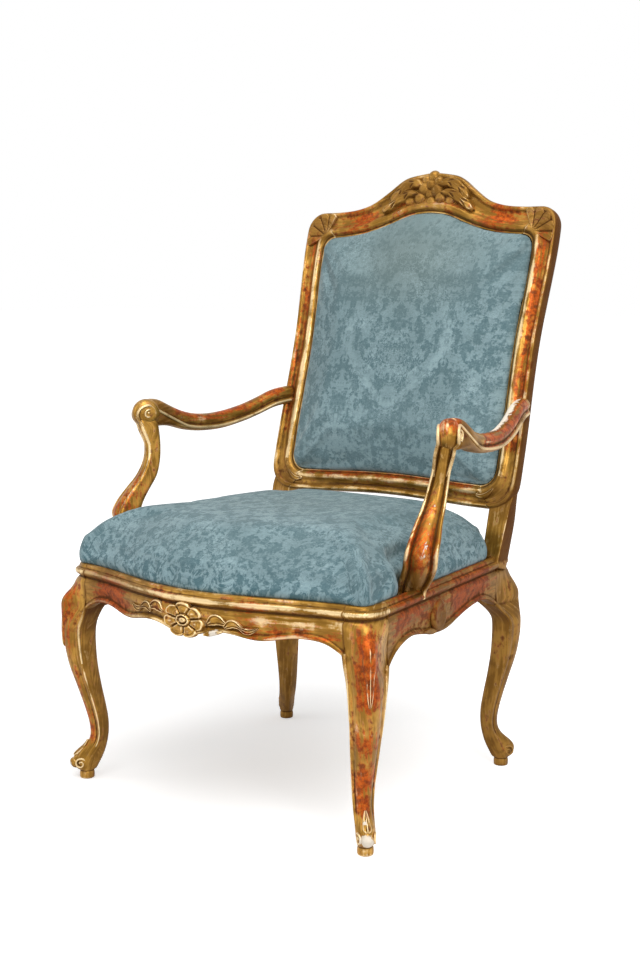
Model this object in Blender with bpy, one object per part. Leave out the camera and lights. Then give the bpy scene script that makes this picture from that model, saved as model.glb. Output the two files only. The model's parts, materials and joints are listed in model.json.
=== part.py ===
"""Open armchair with a flat upholstered back in a carved, gilt frame.

Every piece is its own solid: framed members with tenons in mortises, pegs across the tenons,
webbing, hessian, stuffing and covers. Metres, +Z up. The sitter faces -Y, so the sitter's left
is +X. Lengths from front to back are counted from the line through the front feet.
"""

import math

import bmesh
import bpy
from mathutils import Matrix, Vector

# Fits
CLEARANCE = 0.0003
MORTISE_SPARE = 0.001

# Seat frame
RAIL_TOP = 0.350
BEAD_HEIGHT = 0.012
BEAD_WIDTH = 0.008
FACE_SETBACK = 0.005
# Shares of the setback at the cove and at the hollow of the face
COVE_SHARE = 1.2
HOLLOW_SHARE = 1.3
# Shares of the bead's width or height where its round begins, crowns and ends, and of the cove's setback
BEAD_ROUND = 0.35
BEAD_CROWN = 0.75
BEAD_FALL = 0.7
COVE_STEP = 0.5
COVE_DROP = 0.4
RAIL_THICKNESS = 0.034
REAR_RAIL_HEIGHT = 0.055
SEAT_FRONT_HALF = 0.3075
SEAT_REAR_HALF = 0.2394
SEAT_DEPTH = 0.495
FRONT_EDGE = -0.022
FRONT_BULGE = 0.068
FRONT_BLOCK_WIDTH = 0.0455
FRONT_BLOCK_DEPTH = 0.057
REAR_BLOCK_WIDTH = 0.031
REAR_BLOCK_DEPTH = 0.058
FRONT_APRON = 0.048
FRONT_CENTRE_DROP = 0.014
FRONT_LOBE_DROP = 0.010
FRONT_LOBE_PLACE = 0.132
SIDE_APRON = 0.064
SIDE_LOBE_DROP = 0.018
SIDE_LOBE_PLACE = 0.255
APRON_END_DROP = 0.008
LOBE_WIDTH = 0.042

# Legs: outward is along the diagonal of the seat corner
FRONT_FOOT_TUCK = 0.0215
REAR_FOOT_TUCK = 0.0044
REAR_FOOT_SETBACK = 0.019
FOOT_RADIUS = 0.0125
FOOT_HEIGHT = 0.012
LEG_DROP = 0.070
KNEE_TUCK = 0.009
# Share of the leg's height, outward reach, inward reach and half width there
LEG_STATIONS = (
    (0.055, 0.0160, 0.0160, 0.0125),
    (0.090, 0.0230, 0.0210, 0.0145),
    (0.125, 0.0230, 0.0260, 0.0150),
    (0.160, 0.0150, 0.0300, 0.0148),
    (0.195, 0.0030, 0.0330, 0.0147),
    (0.235, -0.0045, 0.0355, 0.0147),
    (0.285, -0.0070, 0.0373, 0.0155),
    (0.360, -0.0040, 0.0370, 0.0170),
    (0.450, 0.0030, 0.0330, 0.0190),
    (0.570, 0.0140, 0.0265, 0.0215),
    (0.700, 0.0260, 0.0210, 0.0240),
    (0.820, 0.0325, 0.0190, 0.0260),
    (0.910, 0.0340, 0.0195, 0.0278),
    (1.000, 0.0330, 0.0245, 0.0300),
)
REAR_KNEE_EASE = 0.004
# Shares of the knee's swell that the corner block still has at its foot, its middle and its cove
FRONT_BLOCK_SWELL = (0.95, 0.55, 0.12)
REAR_BLOCK_SWELL = (1.0, 0.55, 0.1)

# Back frame, in a plane that leans back. The sight is the opening that shows the upholstery
BACK_RAKE = math.radians(15.0)
BACK_SETBACK = 0.0275
BACK_THICKNESS = 0.026
BACK_CHAMFER = 0.010
POST_FOOT_THICKNESS = 0.040
POST_WIDTH = 0.039
POST_GAP = 0.096
LOWER_RAIL_WIDTH = 0.037
LOWER_RAIL_RISE = 0.007
SIGHT_HEIGHT = 0.423
SIGHT_HALF = 0.216
SIGHT_WAIST = 0.003
SIGHT_FLARE = 0.005
SIGHT_ARCH = 0.042
SIGHT_CORNER = 0.016
STILE_WIDTH = 0.0435
SHOULDER_WIDTH = 0.047
SHOULDER_RADIUS = 0.034
CREST_RISE = 0.067
LEDGE_WIDTH = 0.012
LEDGE_DEPTH = 0.012
MOULDING_RELIEF = 0.003
# Shares of a member's width that is moulded, of the relief at its edge, and of its thickness at the chamfer
MOULDED_SHARE = 0.97
EDGE_FALL = 1.4
CHAMFER_START = 0.8
# Shares of the sight's height where the waist and the flare begin, lie and end
WAIST_SHARES = (0.20, 0.54, 0.86)
SHOULDER_TURN = 78.0
# Share of the way from the middle to the shoulder, and of the rise there
ARCH_CURVE = ((0.0, 1.0), (0.2, 0.88), (0.42, 0.5), (0.65, 0.18), (0.85, 0.05), (1.0, 0.0))
CREST_CURVE = ((0.0, 1.0), (0.18, 0.93), (0.3, 0.84), (0.45, 0.52), (0.62, 0.2), (0.8, 0.05), (1.0, 0.0))

# Arms and their supports
SUPPORT_HEIGHT = 0.2245
SUPPORT_PLACE = 0.1535
SUPPORT_WIDTH = 0.022
SUPPORT_DEPTH = 0.044
# Share of the support's height, shift outwards and forwards from its foot, width and depth
SUPPORT_STATIONS = (
    (0.000, 0.000, 0.000, SUPPORT_WIDTH, SUPPORT_DEPTH),
    (0.065, 0.000, 0.001, SUPPORT_WIDTH, SUPPORT_DEPTH),
    (0.155, 0.018, 0.017, 0.026, 0.043),
    (0.245, 0.031, 0.029, 0.028, 0.046),
    (0.356, 0.040, 0.037, 0.029, 0.044),
    (0.445, 0.040, 0.030, 0.028, 0.040),
    (0.530, 0.036, 0.016, 0.027, 0.033),
    (0.640, 0.031, -0.006, 0.025, 0.027),
    (0.760, 0.029, -0.020, 0.025, 0.022),
    (0.880, 0.030, -0.026, 0.025, 0.021),
    (1.000, 0.036, -0.028, 0.026, 0.026),
)
ARM_ROOT_OUT = 0.033
ARM_ROOT_RISE = 0.0405
ARM_ROOT_WIDTH = 0.028
ARM_ROOT_DEPTH = 0.034
ARM_TIP_OUT = 0.006
ARM_OVERHANG = 0.025
HOUSING_DEPTH = 0.005
# Share of the way forward and of the way outward, rise of the underside over the support, depth and width
ARM_STATIONS = (
    (0.106, 0.169, 0.0172, 0.0340, 0.028),
    (0.199, 0.322, 0.0057, 0.0330, 0.028),
    (0.297, 0.475, -0.0048, 0.0320, 0.028),
    (0.441, 0.661, -0.0148, 0.0320, 0.028),
    (0.585, 0.763, -0.0158, 0.0320, 0.028),
    (0.700, 0.831, -0.0108, 0.0345, 0.028),
    (0.792, 0.915, -0.0023, 0.0395, 0.028),
    (0.856, 0.966, 0.0, 0.0467, 0.029),
    (0.911, 1.000, 0.0, 0.0492, 0.029),
    (0.960, 1.000, 0.0, 0.0457, 0.029),
    (0.986, 1.000, 0.0050, 0.0332, 0.026),
    (1.000, 1.000, 0.0130, 0.0172, 0.018),
)

# Tenons and pegs
TENON_THICKNESS = 0.009
TENON_HEIGHT = 0.034
TENON_LENGTH = 0.020
REAR_TENON_LENGTH = 0.015
BACK_TENON_HEIGHT = 0.024
BACK_TENON_LENGTH = 0.018
BACK_TENON_PLACE = 0.55
ARM_TENON_HEIGHT = 0.018
ARM_TENON_LENGTH = 0.014
SUPPORT_TENON_DEPTH = 0.022
SUPPORT_TENON_LENGTH = 0.020
PEG_RADIUS = 0.003
PEG_LENGTH = 0.024
BACK_PEG_LENGTH = 0.020

# Upholstery
COVER_THICKNESS = 0.0015
SEAT_CROWN = 0.110
BACK_CROWN = 0.032
STRAP_THICKNESS = 0.002
HESSIAN_THICKNESS = 0.001
SEAT_STRAP_WIDTH = 0.056
SEAT_LONG_PITCH = 0.098
SEAT_CROSS_PITCH = 0.080
BACK_STRAP_WIDTH = 0.055
BACK_LONG_PITCH = 0.100
BACK_CROSS_PITCH = 0.110
SHEET_INSET = 0.009
STUFFING_INSET = 0.009
# Share of a support's depth from its middle, and how far the seat's edge is drawn in there
NOTCH_SHARES = ((-1.0, 0.0), (-0.6, 1.0), (0.6, 1.0), (1.0, 0.0))
# Bead widths by which the seat's front corner is cut back, sideways and to the rear, at two points
CORNER_CUTS = ((2.0, 0.2), (0.5, 1.0))
# Shares of the sight's and the crest joint's half width where the panel's lower and upper edges end
PANEL_ENDS = (0.88, 0.96)

# Places worked out from the sizes above
FRONT_JOINT = SEAT_FRONT_HALF - FRONT_BLOCK_WIDTH
SIDE_JOINT = FRONT_EDGE + FRONT_BLOCK_DEPTH
REAR_JOINT = SEAT_DEPTH - REAR_BLOCK_DEPTH
REAR_RAIL_JOINT = SEAT_REAR_HALF - REAR_BLOCK_WIDTH
FOOT_FRONT_HALF = SEAT_FRONT_HALF - FRONT_FOOT_TUCK
FOOT_REAR_HALF = SEAT_REAR_HALF - REAR_FOOT_TUCK
FOOT_REAR_PLACE = SEAT_DEPTH - REAR_FOOT_SETBACK
LEG_HEIGHT = RAIL_TOP - LEG_DROP
BEAD_TOP = RAIL_TOP + BEAD_HEIGHT
FACE_INSET = FACE_SETBACK * HOLLOW_SHARE
COVE_INSET = FACE_SETBACK * COVE_SHARE
TENON_CENTRE = RAIL_TOP - FRONT_APRON / 2 - BEAD_HEIGHT / 4
LOWER_RAIL_BOTTOM = RAIL_TOP + POST_GAP
SIGHT_BOTTOM = LOWER_RAIL_BOTTOM + LOWER_RAIL_WIDTH
SIGHT_TOP = SIGHT_BOTTOM + SIGHT_HEIGHT
SHOULDER_TOP = SIGHT_TOP + SHOULDER_WIDTH
CREST_JOINT = SIGHT_HALF - SIGHT_CORNER
POST_INNER_HALF = SIGHT_HALF - LEDGE_WIDTH / 4
SUPPORT_TOP = RAIL_TOP + SUPPORT_HEIGHT
ARM_SEAT = SUPPORT_TOP + CLEARANCE
ARM_ROOT_HALF = SIGHT_HALF + ARM_ROOT_OUT
ARM_ROOT_HEIGHT = SUPPORT_TOP + ARM_ROOT_RISE
SIDES = ("left", "right")


# Scene set-up

for stale in list(bpy.data.objects):
    bpy.data.objects.remove(stale, do_unlink=True)

chair = bpy.data.collections.new("fauteuil_a_la_reine")
cutters = bpy.data.collections.new("cutters")
bpy.context.scene.collection.children.link(chair)
bpy.context.scene.collection.children.link(cutters)
origin = bpy.data.objects.new("chair_origin", None)
chair.objects.link(origin)


def finish(name, colour, roughness, metallic=0.0):
    """Principled material for one kind of surface."""
    material = bpy.data.materials.new(name)
    material.use_nodes = True
    shader = material.node_tree.nodes["Principled BSDF"]
    shader.inputs["Base Color"].default_value = (*colour, 1.0)
    shader.inputs["Roughness"].default_value = roughness
    shader.inputs["Metallic"].default_value = metallic
    return material


GILTWOOD = finish("giltwood", (0.50, 0.29, 0.09), 0.42, 0.6)
BARE_WOOD = finish("bare_beech", (0.36, 0.22, 0.11), 0.7)
DAMASK = finish("blue_damask", (0.16, 0.26, 0.30), 0.75)
HESSIAN = finish("hessian", (0.42, 0.32, 0.18), 0.95)
WEBBING = finish("webbing", (0.50, 0.42, 0.28), 0.9)
HORSEHAIR = finish("horsehair", (0.09, 0.07, 0.06), 0.95)


# Small tools

def smooth(rows, at):
    """Value of the rows' second column at a place in the first, eased by a Catmull-Rom curve."""
    if at <= rows[0][0]:
        return rows[0][1]
    if at >= rows[-1][0]:
        return rows[-1][1]
    last = len(rows) - 1
    k = max(i for i in range(last) if rows[i][0] <= at)
    (t0, v0), (t1, v1) = rows[k], rows[k + 1]
    before, after = rows[max(k - 1, 0)], rows[min(k + 2, last)]
    slope0 = (v1 - before[1]) / (t1 - before[0])
    slope1 = (after[1] - v0) / (after[0] - t0)
    s = (at - t0) / (t1 - t0)
    gap = t1 - t0
    return (
        (2 * s**3 - 3 * s**2 + 1) * v0
        + (s**3 - 2 * s**2 + s) * gap * slope0
        + (3 * s**2 - 2 * s**3) * v1
        + (s**3 - s**2) * gap * slope1
    )


def spread(low, high, count):
    """Evenly spaced numbers, both ends included."""
    return [low + (high - low) * i / (count - 1) for i in range(count)]


def add_object(name, mesh, material):
    piece = bpy.data.objects.new(name, mesh)
    mesh.materials.append(material)
    chair.objects.link(piece)
    piece.parent = origin
    return piece


def mesh_from(bm, name):
    bmesh.ops.recalc_face_normals(bm, faces=bm.faces)
    mesh = bpy.data.meshes.new(name)
    bm.to_mesh(mesh)
    bm.free()
    mesh.shade_smooth()
    mesh.set_sharp_from_angle(angle=math.radians(40))
    return mesh


def loft(name, rings, material):
    """Solid through a row of closed sections with as many points each, capped at both ends."""
    bm = bmesh.new()
    loops = [[bm.verts.new(point) for point in ring] for ring in rings]
    count = len(loops[0])
    for low, high in zip(loops, loops[1:]):
        for i in range(count):
            j = (i + 1) % count
            bm.faces.new((low[i], low[j], high[j], high[i]))
    bm.faces.new(loops[0])
    bm.faces.new(loops[-1])
    bmesh.ops.remove_doubles(bm, verts=bm.verts, dist=CLEARANCE / 100)
    return add_object(name, mesh_from(bm, name), material)


def box_mesh(name, size):
    bm = bmesh.new()
    bmesh.ops.create_cube(bm, size=1.0)
    bmesh.ops.scale(bm, vec=size, verts=bm.verts)
    mesh = bpy.data.meshes.new(name)
    bm.to_mesh(mesh)
    bm.free()
    return mesh


def peg_mesh(name, radius, length):
    bm = bmesh.new()
    bmesh.ops.create_cone(
        bm, cap_ends=True, segments=8, radius1=radius, radius2=radius, depth=length
    )
    mesh = bpy.data.meshes.new(name)
    bm.to_mesh(mesh)
    bm.free()
    return mesh


def cutter(name, mesh, centre, turn):
    tool = bpy.data.objects.new(name, mesh)
    cutters.objects.link(tool)
    tool.parent = origin
    tool.matrix_local = Matrix.Translation(centre) @ turn
    tool.hide_render = True
    tool.display_type = "WIRE"
    return tool


def combine(piece, tool, operation):
    modifier = piece.modifiers.new(tool.name, "BOOLEAN")
    modifier.operation = operation
    modifier.solver = "EXACT"
    modifier.object = tool


def tenon(male, female, root, axis, length, across, tilt=0.0):
    """Tenon on one member and its mortise in the other.

    root is the middle of the shoulder, axis 0, 1 or 2 with a sign in length, and across the two
    other sizes in X, Y, Z order.
    """
    turn = Matrix.Rotation(tilt, 4, "X")
    heading = turn.to_3x3() @ Vector([float(k == axis) for k in range(3)])
    bury = math.copysign(TENON_THICKNESS, length)

    def block(label, spare, end):
        sizes = list(across)
        sizes.insert(axis, None)
        reach = length + math.copysign(end, length)
        sizes = [abs(reach + bury) if s is None else s + 2 * spare for s in sizes]
        centre = root + heading * (reach - bury) / 2
        return cutter(label, box_mesh(label, sizes), centre, turn)

    label = f"{male.name}_to_{female.name}"
    combine(male, block(label + "_tenon", 0.0, 0.0), "UNION")
    combine(female, block(label + "_mortise", CLEARANCE, MORTISE_SPARE), "DIFFERENCE")


def peg(name, members, head, inward, length=PEG_LENGTH):
    """Round peg driven inward from its head through both members of a joint."""
    inward = inward.normalized()
    turn = inward.to_track_quat("Z", "Y").to_matrix().to_4x4()
    piece = add_object(name, peg_mesh(name, PEG_RADIUS, length), BARE_WOOD)
    piece.matrix_local = Matrix.Translation(head + inward * length / 2) @ turn
    hole_length = 2 * length
    hole = peg_mesh(name + "_hole", PEG_RADIUS + CLEARANCE, hole_length)
    centre = head + inward * (length + CLEARANCE - hole_length / 2)
    tool = cutter(name + "_hole", hole, centre, turn)
    for member in members:
        combine(member, tool, "DIFFERENCE")


# Seat plan

def side_x(y):
    """Half width of the seat at the edge of the bead."""
    return SEAT_FRONT_HALF - (SEAT_FRONT_HALF - SEAT_REAR_HALF) * y / SEAT_DEPTH


def front_y(x):
    """Front edge of the bead, a cosine swell between the legs."""
    share = min(abs(x) / (SEAT_FRONT_HALF - BEAD_WIDTH), 1.0)
    return FRONT_EDGE - FRONT_BULGE * (1 + math.cos(math.pi * share)) / 2


def bump(distance):
    return math.exp(-((distance / LOBE_WIDTH) ** 2))


def front_apron(x):
    """Height of the front rail's lower edge."""
    drop = FRONT_CENTRE_DROP * bump(x) + FRONT_LOBE_DROP * bump(abs(x) - FRONT_LOBE_PLACE)
    ends = APRON_END_DROP * bump(FRONT_JOINT - abs(x))
    return BEAD_TOP - FRONT_APRON - drop - ends


def side_apron(y):
    """Height of a side rail's lower edge."""
    drop = SIDE_LOBE_DROP * bump((y - SIDE_LOBE_PLACE) / 2)
    ends = APRON_END_DROP * (bump(y - SIDE_JOINT) + bump(REAR_JOINT - y))
    return BEAD_TOP - SIDE_APRON - drop - ends


def rail_section(low):
    """Section of a rail: distance in from the edge of the bead, and height."""
    cove = RAIL_TOP - FACE_SETBACK
    return (
        (RAIL_THICKNESS, RAIL_TOP),
        (BEAD_WIDTH, RAIL_TOP),
        (BEAD_WIDTH, BEAD_TOP - BEAD_WIDTH / 4),
        (BEAD_WIDTH * BEAD_CROWN, BEAD_TOP),
        (BEAD_WIDTH * BEAD_ROUND, BEAD_TOP),
        (0.0, BEAD_TOP - BEAD_HEIGHT * BEAD_ROUND),
        (0.0, BEAD_TOP - BEAD_HEIGHT * BEAD_FALL),
        (FACE_SETBACK * COVE_STEP, RAIL_TOP - FACE_SETBACK * COVE_DROP),
        (COVE_INSET, cove),
        (FACE_INSET, (cove + low) / 2),
        (FACE_SETBACK, low + FACE_SETBACK),
        (FACE_INSET, low),
        (RAIL_THICKNESS, low),
    )


# Legs

def unit_ring(counts, exponents):
    """Points of a rounded square, side by side from the inner front corner round to the left.

    The exponents belong to the inner front, outer front, outer back and inner back corners.
    """
    points = []
    for side, count in enumerate(counts):
        for i in range(count):
            angle = math.radians(-135 + 90 * (side + i / count))
            c, s = math.cos(angle), math.sin(angle)
            corner = (1 if s <= 0 else 2) if c > 0 else (0 if s <= 0 else 3)
            n = exponents[corner]
            reach = (abs(c) ** n + abs(s) ** n) ** (-1 / n)
            points.append((c * reach, s * reach, angle))
    return points


CRISP = 24.0
EDGE = 4.0
INSIDE = 3.0
OUTSIDE = 2.3
FRONT_BLOCK_CORNER = 3.2


def corner_reach(exponent):
    return math.sqrt(2) * 2 ** (-1 / exponent)


def leg_ring(foot, outward, height, reach_out, reach_in, half_width, ring):
    """Rounded section of a leg, outward being the diagonal it leans along."""
    along = Vector((outward[0], outward[1])).normalized()
    across = Vector((-along.y, along.x))
    scale = (reach_out + reach_in) / (corner_reach(OUTSIDE) + corner_reach(INSIDE))
    middle = reach_out - scale * corner_reach(OUTSIDE)
    width = half_width / corner_reach(EDGE)
    points = []
    for a, b, _ in ring:
        u = middle + scale * (a * along.x + b * along.y)
        v = width * (a * across.x + b * across.y)
        spot = Vector(foot) + along * u + across * v
        points.append((spot.x, spot.y, height))
    return points


def round_ring(foot, height, radius, counts):
    points = []
    for _, _, angle in unit_ring(counts, (2.0,) * 4):
        points.append((foot[0] + radius * math.cos(angle), foot[1] + radius * math.sin(angle), height))
    return points


def block_ring(corners, ring, height, outward, swell):
    """Section of the block that takes the rails, swelling out at its outer corner."""
    points = []
    heading = math.atan2(outward[1], outward[0])
    away = Vector(outward).normalized()
    for a, b, angle in ring:
        s, t = (a + 1) / 2, (b + 1) / 2
        low = corners[0].lerp(corners[1], s)
        high = corners[3].lerp(corners[2], s)
        spot = low.lerp(high, t) + away * swell * max(0.0, math.cos(angle - heading)) ** 3
        points.append((spot.x, spot.y, height))
    return points


def leg_rings(foot, outward, ring, counts, ease):
    """Sections from the floor to the underside of the seat frame."""
    rings = [
        round_ring(foot, 0.0, FOOT_RADIUS, counts),
        round_ring(foot, FOOT_HEIGHT, FOOT_RADIUS, counts),
    ]
    for share, reach_out, reach_in, half_width in LEG_STATIONS:
        eased = reach_out - ease * share
        rings.append(leg_ring(foot, outward, share * LEG_HEIGHT, eased, reach_in, half_width, ring))
    return rings


def mirrored(rings, side):
    return [[(side * x, y, z) for x, y, z in ring] for ring in rings]


def front_leg(name, side):
    counts = (5, 5, 3, 3)
    foot = (FOOT_FRONT_HALF, 0.0)
    outward = (1.0, -1.0)
    rings = leg_rings(foot, outward, unit_ring(counts, (EDGE, OUTSIDE, EDGE, INSIDE)), counts, 0.0)
    block = unit_ring(counts, (CRISP, FRONT_BLOCK_CORNER, CRISP, CRISP))

    def corners(inset):
        near = front_y(FRONT_JOINT) + inset
        return [
            Vector((FRONT_JOINT, near)),
            Vector((side_x(FRONT_EDGE) - inset, FRONT_EDGE + inset)),
            Vector((side_x(SIDE_JOINT) - inset, SIDE_JOINT)),
            Vector((FRONT_JOINT, SIDE_JOINT)),
        ]

    tip = corners(FACE_INSET)[1] - Vector(foot)
    plain = (tip.x - tip.y) / math.sqrt(2) - KNEE_TUCK
    swell = LEG_STATIONS[-1][1] - plain
    low = front_apron(FRONT_JOINT)
    cove = RAIL_TOP - FACE_SETBACK
    at_foot, at_middle, at_cove = FRONT_BLOCK_SWELL
    for height, inset, share in (
        (low, FACE_INSET, at_foot),
        ((cove + low) / 2, FACE_INSET, at_middle),
        (cove, COVE_INSET, at_cove),
        (RAIL_TOP - FACE_SETBACK * COVE_DROP, FACE_SETBACK * COVE_STEP, 0.0),
    ):
        rings.append(block_ring(corners(inset), block, height, outward, swell * share))
    rings.append(block_ring(corners(0.0), block, RAIL_TOP, outward, 0.0))
    split = counts[0] + counts[1]

    def bead_ring(height, outer_inset, inner_inset):
        """Strip of the bead round the corner: its outer edge, then its inner edge back again."""
        edge = block_ring(corners(outer_inset), block, height, outward, 0.0)
        back = block_ring(corners(inner_inset), block, height, outward, 0.0)
        steps = spread(split, 0, len(block) - split)
        inner = []
        for place in steps:
            k = min(int(place), split - 1)
            a, b = Vector(back[k]), Vector(back[k + 1])
            inner.append(tuple(a.lerp(b, place - k)))
        return edge[: split] + inner

    rings.append(bead_ring(RAIL_TOP, 0.0, BEAD_WIDTH))
    rings.append(bead_ring(BEAD_TOP - BEAD_HEIGHT * BEAD_ROUND, 0.0, BEAD_WIDTH))
    rings.append(bead_ring(BEAD_TOP, BEAD_WIDTH * BEAD_ROUND, BEAD_WIDTH * BEAD_CROWN))
    return loft(name, mirrored(rings, side), GILTWOOD)


# Back frame

def back_point(x, z, forward):
    """Point of the leaning back plane, moved forward along the plane's normal."""
    y = SEAT_DEPTH - BACK_SETBACK + (z - SIGHT_BOTTOM) * math.tan(BACK_RAKE)
    return (x, y - forward * math.cos(BACK_RAKE), z + forward * math.sin(BACK_RAKE))


def sight_x(z):
    """Half width of the opening at a height."""
    start, waist, flare = WAIST_SHARES
    rows = (
        (0.0, 0.0),
        (start, 0.0),
        (waist, -SIGHT_WAIST),
        (flare, SIGHT_FLARE),
        (1.0, SIGHT_FLARE),
    )
    return SIGHT_HALF + smooth(rows, (z - SIGHT_BOTTOM) / SIGHT_HEIGHT)


def stile_heights():
    """Heights of the sections between the two corners of a stile."""
    low = SIGHT_BOTTOM + LOWER_RAIL_RISE + LEDGE_WIDTH * 4 / 3
    high = SIGHT_TOP - LEDGE_WIDTH * 2
    return spread(low, high, 8)


def arch(x):
    """Share of the crest's rise: full at the middle, none at the shoulders."""
    share = min(abs(x) / CREST_JOINT, 1.0)
    return smooth(ARCH_CURVE, share)


def sight_top(x):
    return SIGHT_TOP + SIGHT_ARCH * arch(x)


def crest_top(x):
    share = min(abs(x) / CREST_JOINT, 1.0)
    return SHOULDER_TOP + CREST_RISE * smooth(CREST_CURVE, share)


def lower_rail_edge(x, height):
    share = min(abs(x) / POST_INNER_HALF, 1.0)
    return height + LOWER_RAIL_RISE * (1 + math.cos(math.pi * share)) / 2


# Share of the way across a member and relief there, from the sight edge outwards
MOULDING = (
    (0.00, -1.0), (0.08, 0.9), (0.20, 0.5), (0.34, -0.7),
    (0.60, -0.8), (0.78, 0.5), (0.92, 1.0), (1.00, -0.8),
)


def post_ring(z, inner, ledge, outer, thickness, relief):
    """Section of a back post: moulded front, outer side, back, and the ledge on the inner side."""
    ring = []
    for share, lift in MOULDING:
        ring.append(back_point(inner + (outer - inner) * share * MOULDED_SHARE, z, lift * relief))
    ring.append(back_point(outer, z, -MOULDING_RELIEF * EDGE_FALL))
    ring.append(back_point(outer, z, -thickness / 2))
    ring.append(back_point(outer - BACK_CHAMFER / 2, z, -thickness * CHAMFER_START))
    rear = outer - BACK_CHAMFER
    for third in range(3):
        ring.append(back_point(rear + (inner - rear) * third / 3, z, -thickness))
    ring.append(back_point(ledge, z, -thickness))
    ring.append(back_point(ledge, z, -LEDGE_DEPTH))
    ring.append(back_point(inner, z, -LEDGE_DEPTH))
    ring.append(back_point(inner, z, -LEDGE_DEPTH / 2))
    return ring


def back_post(name, side):
    counts = (8, 3, 3, 4)
    foot = (FOOT_REAR_HALF, FOOT_REAR_PLACE)
    outward = (1.0, 1.0)
    ring = unit_ring(counts, (INSIDE, EDGE, OUTSIDE, EDGE))
    rings = leg_rings(foot, outward, ring, counts, REAR_KNEE_EASE)
    block = unit_ring(counts, (CRISP, CRISP, EDGE, CRISP))

    def corners(inset):
        return [
            Vector((REAR_RAIL_JOINT, REAR_JOINT)),
            Vector((side_x(REAR_JOINT) - inset, REAR_JOINT)),
            Vector((side_x(SEAT_DEPTH) - inset, SEAT_DEPTH)),
            Vector((REAR_RAIL_JOINT, SEAT_DEPTH)),
        ]

    tip = corners(FACE_SETBACK)[2] - Vector(foot)
    swell = LEG_STATIONS[-1][1] - REAR_KNEE_EASE - (tip.x + tip.y) / math.sqrt(2)
    low = side_apron(REAR_JOINT)
    at_foot, at_middle, at_cove = REAR_BLOCK_SWELL
    for height, inset, share in (
        (low, FACE_INSET, at_foot),
        ((RAIL_TOP + low) / 2, FACE_INSET, at_middle),
        (RAIL_TOP - FACE_SETBACK, COVE_INSET, at_cove),
        (RAIL_TOP, 0.0, 0.0),
        (BEAD_TOP - BEAD_HEIGHT * BEAD_ROUND, 0.0, 0.0),
        (BEAD_TOP, BEAD_WIDTH * BEAD_ROUND, 0.0),
    ):
        rings.append(block_ring(corners(inset), block, height, outward, swell * share))

    waist = (BEAD_TOP + LOWER_RAIL_BOTTOM) / 2
    inner = POST_INNER_HALF
    outer = inner + POST_WIDTH
    middle_thickness = (POST_FOOT_THICKNESS + BACK_THICKNESS) / 2
    rings.append(post_ring(waist, inner, inner, outer, POST_FOOT_THICKNESS, 0.0))
    rings.append(post_ring(LOWER_RAIL_BOTTOM, inner, inner, outer, middle_thickness, 0.0))
    above = SIGHT_BOTTOM + LEDGE_WIDTH + LOWER_RAIL_RISE
    full = sight_x(above) + STILE_WIDTH
    middle = (LOWER_RAIL_BOTTOM + SIGHT_BOTTOM) / 2
    rings.append(post_ring(middle, inner, inner, full, BACK_THICKNESS, MOULDING_RELIEF / 2))
    rings.append(post_ring(above, inner, inner, full, BACK_THICKNESS, MOULDING_RELIEF))
    joint = CREST_JOINT
    for z in stile_heights():
        sight = sight_x(z)
        ledge = max(sight - LEDGE_WIDTH, joint)
        rings.append(post_ring(z, sight, ledge, sight + STILE_WIDTH, BACK_THICKNESS, MOULDING_RELIEF))
    wide = sight_x(stile_heights()[-1]) + STILE_WIDTH
    rings.append(post_ring(SIGHT_TOP, joint, joint, wide, BACK_THICKNESS, MOULDING_RELIEF))
    bend = SHOULDER_TOP - SHOULDER_RADIUS
    for turn in spread(0.0, SHOULDER_TURN, 5):
        angle = math.radians(turn)
        z = bend + SHOULDER_RADIUS * math.sin(angle)
        x = wide - SHOULDER_RADIUS * (1 - math.cos(angle))
        rings.append(post_ring(z, joint, joint, x, BACK_THICKNESS, MOULDING_RELIEF))
    return loft(name, mirrored(rings, side), GILTWOOD)


def cross_member(name, half, count, low, high, ledge_up, relief):
    """Rail of the back between the posts, with its moulded face and its ledge."""
    rings = []
    for x in spread(-half, half, count):
        bottom, top = low(x), high(x)
        sight, outer = (top, bottom) if ledge_up else (bottom, top)
        ledge = sight + LEDGE_WIDTH if ledge_up else sight - LEDGE_WIDTH
        ring = []
        for share, lift in MOULDING:
            ring.append(back_point(x, sight + (outer - sight) * share * MOULDED_SHARE, lift * relief))
        ring.append(back_point(x, outer, -MOULDING_RELIEF * EDGE_FALL))
        ring.append(back_point(x, outer, -BACK_THICKNESS))
        ring.append(back_point(x, ledge, -BACK_THICKNESS))
        ring.append(back_point(x, ledge, -LEDGE_DEPTH))
        ring.append(back_point(x, sight, -LEDGE_DEPTH))
        rings.append(ring)
    return loft(name, rings, GILTWOOD)


# Seat rails

def front_rail(name):
    half = FRONT_JOINT - CLEARANCE
    rings = []
    for x in spread(-half, half, 23):
        edge = front_y(x)
        rings.append([(x, edge + inset, z) for inset, z in rail_section(front_apron(x))])
    return loft(name, rings, GILTWOOD)


def side_rail(name, side):
    rings = []
    for y in spread(SIDE_JOINT + CLEARANCE, REAR_JOINT - CLEARANCE, 15):
        edge = side_x(y)
        rings.append([(side * (edge - inset), y, z) for inset, z in rail_section(side_apron(y))])
    return loft(name, rings, GILTWOOD)


def rear_rail(name):
    half = REAR_RAIL_JOINT - CLEARANCE
    size = (2 * half, RAIL_THICKNESS, REAR_RAIL_HEIGHT)
    rail = add_object(name, box_mesh(name, size), GILTWOOD)
    rail.location = (0.0, SEAT_DEPTH - RAIL_THICKNESS / 2, RAIL_TOP - REAR_RAIL_HEIGHT / 2)
    return rail


# Arms

FLAT_BELOW = (5.0, 5.0, 2.6, 2.6)
ROUNDED = (2.6, 2.6, 2.6, 2.6)
ARM_COUNTS = (4, 4, 4, 4)


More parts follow.
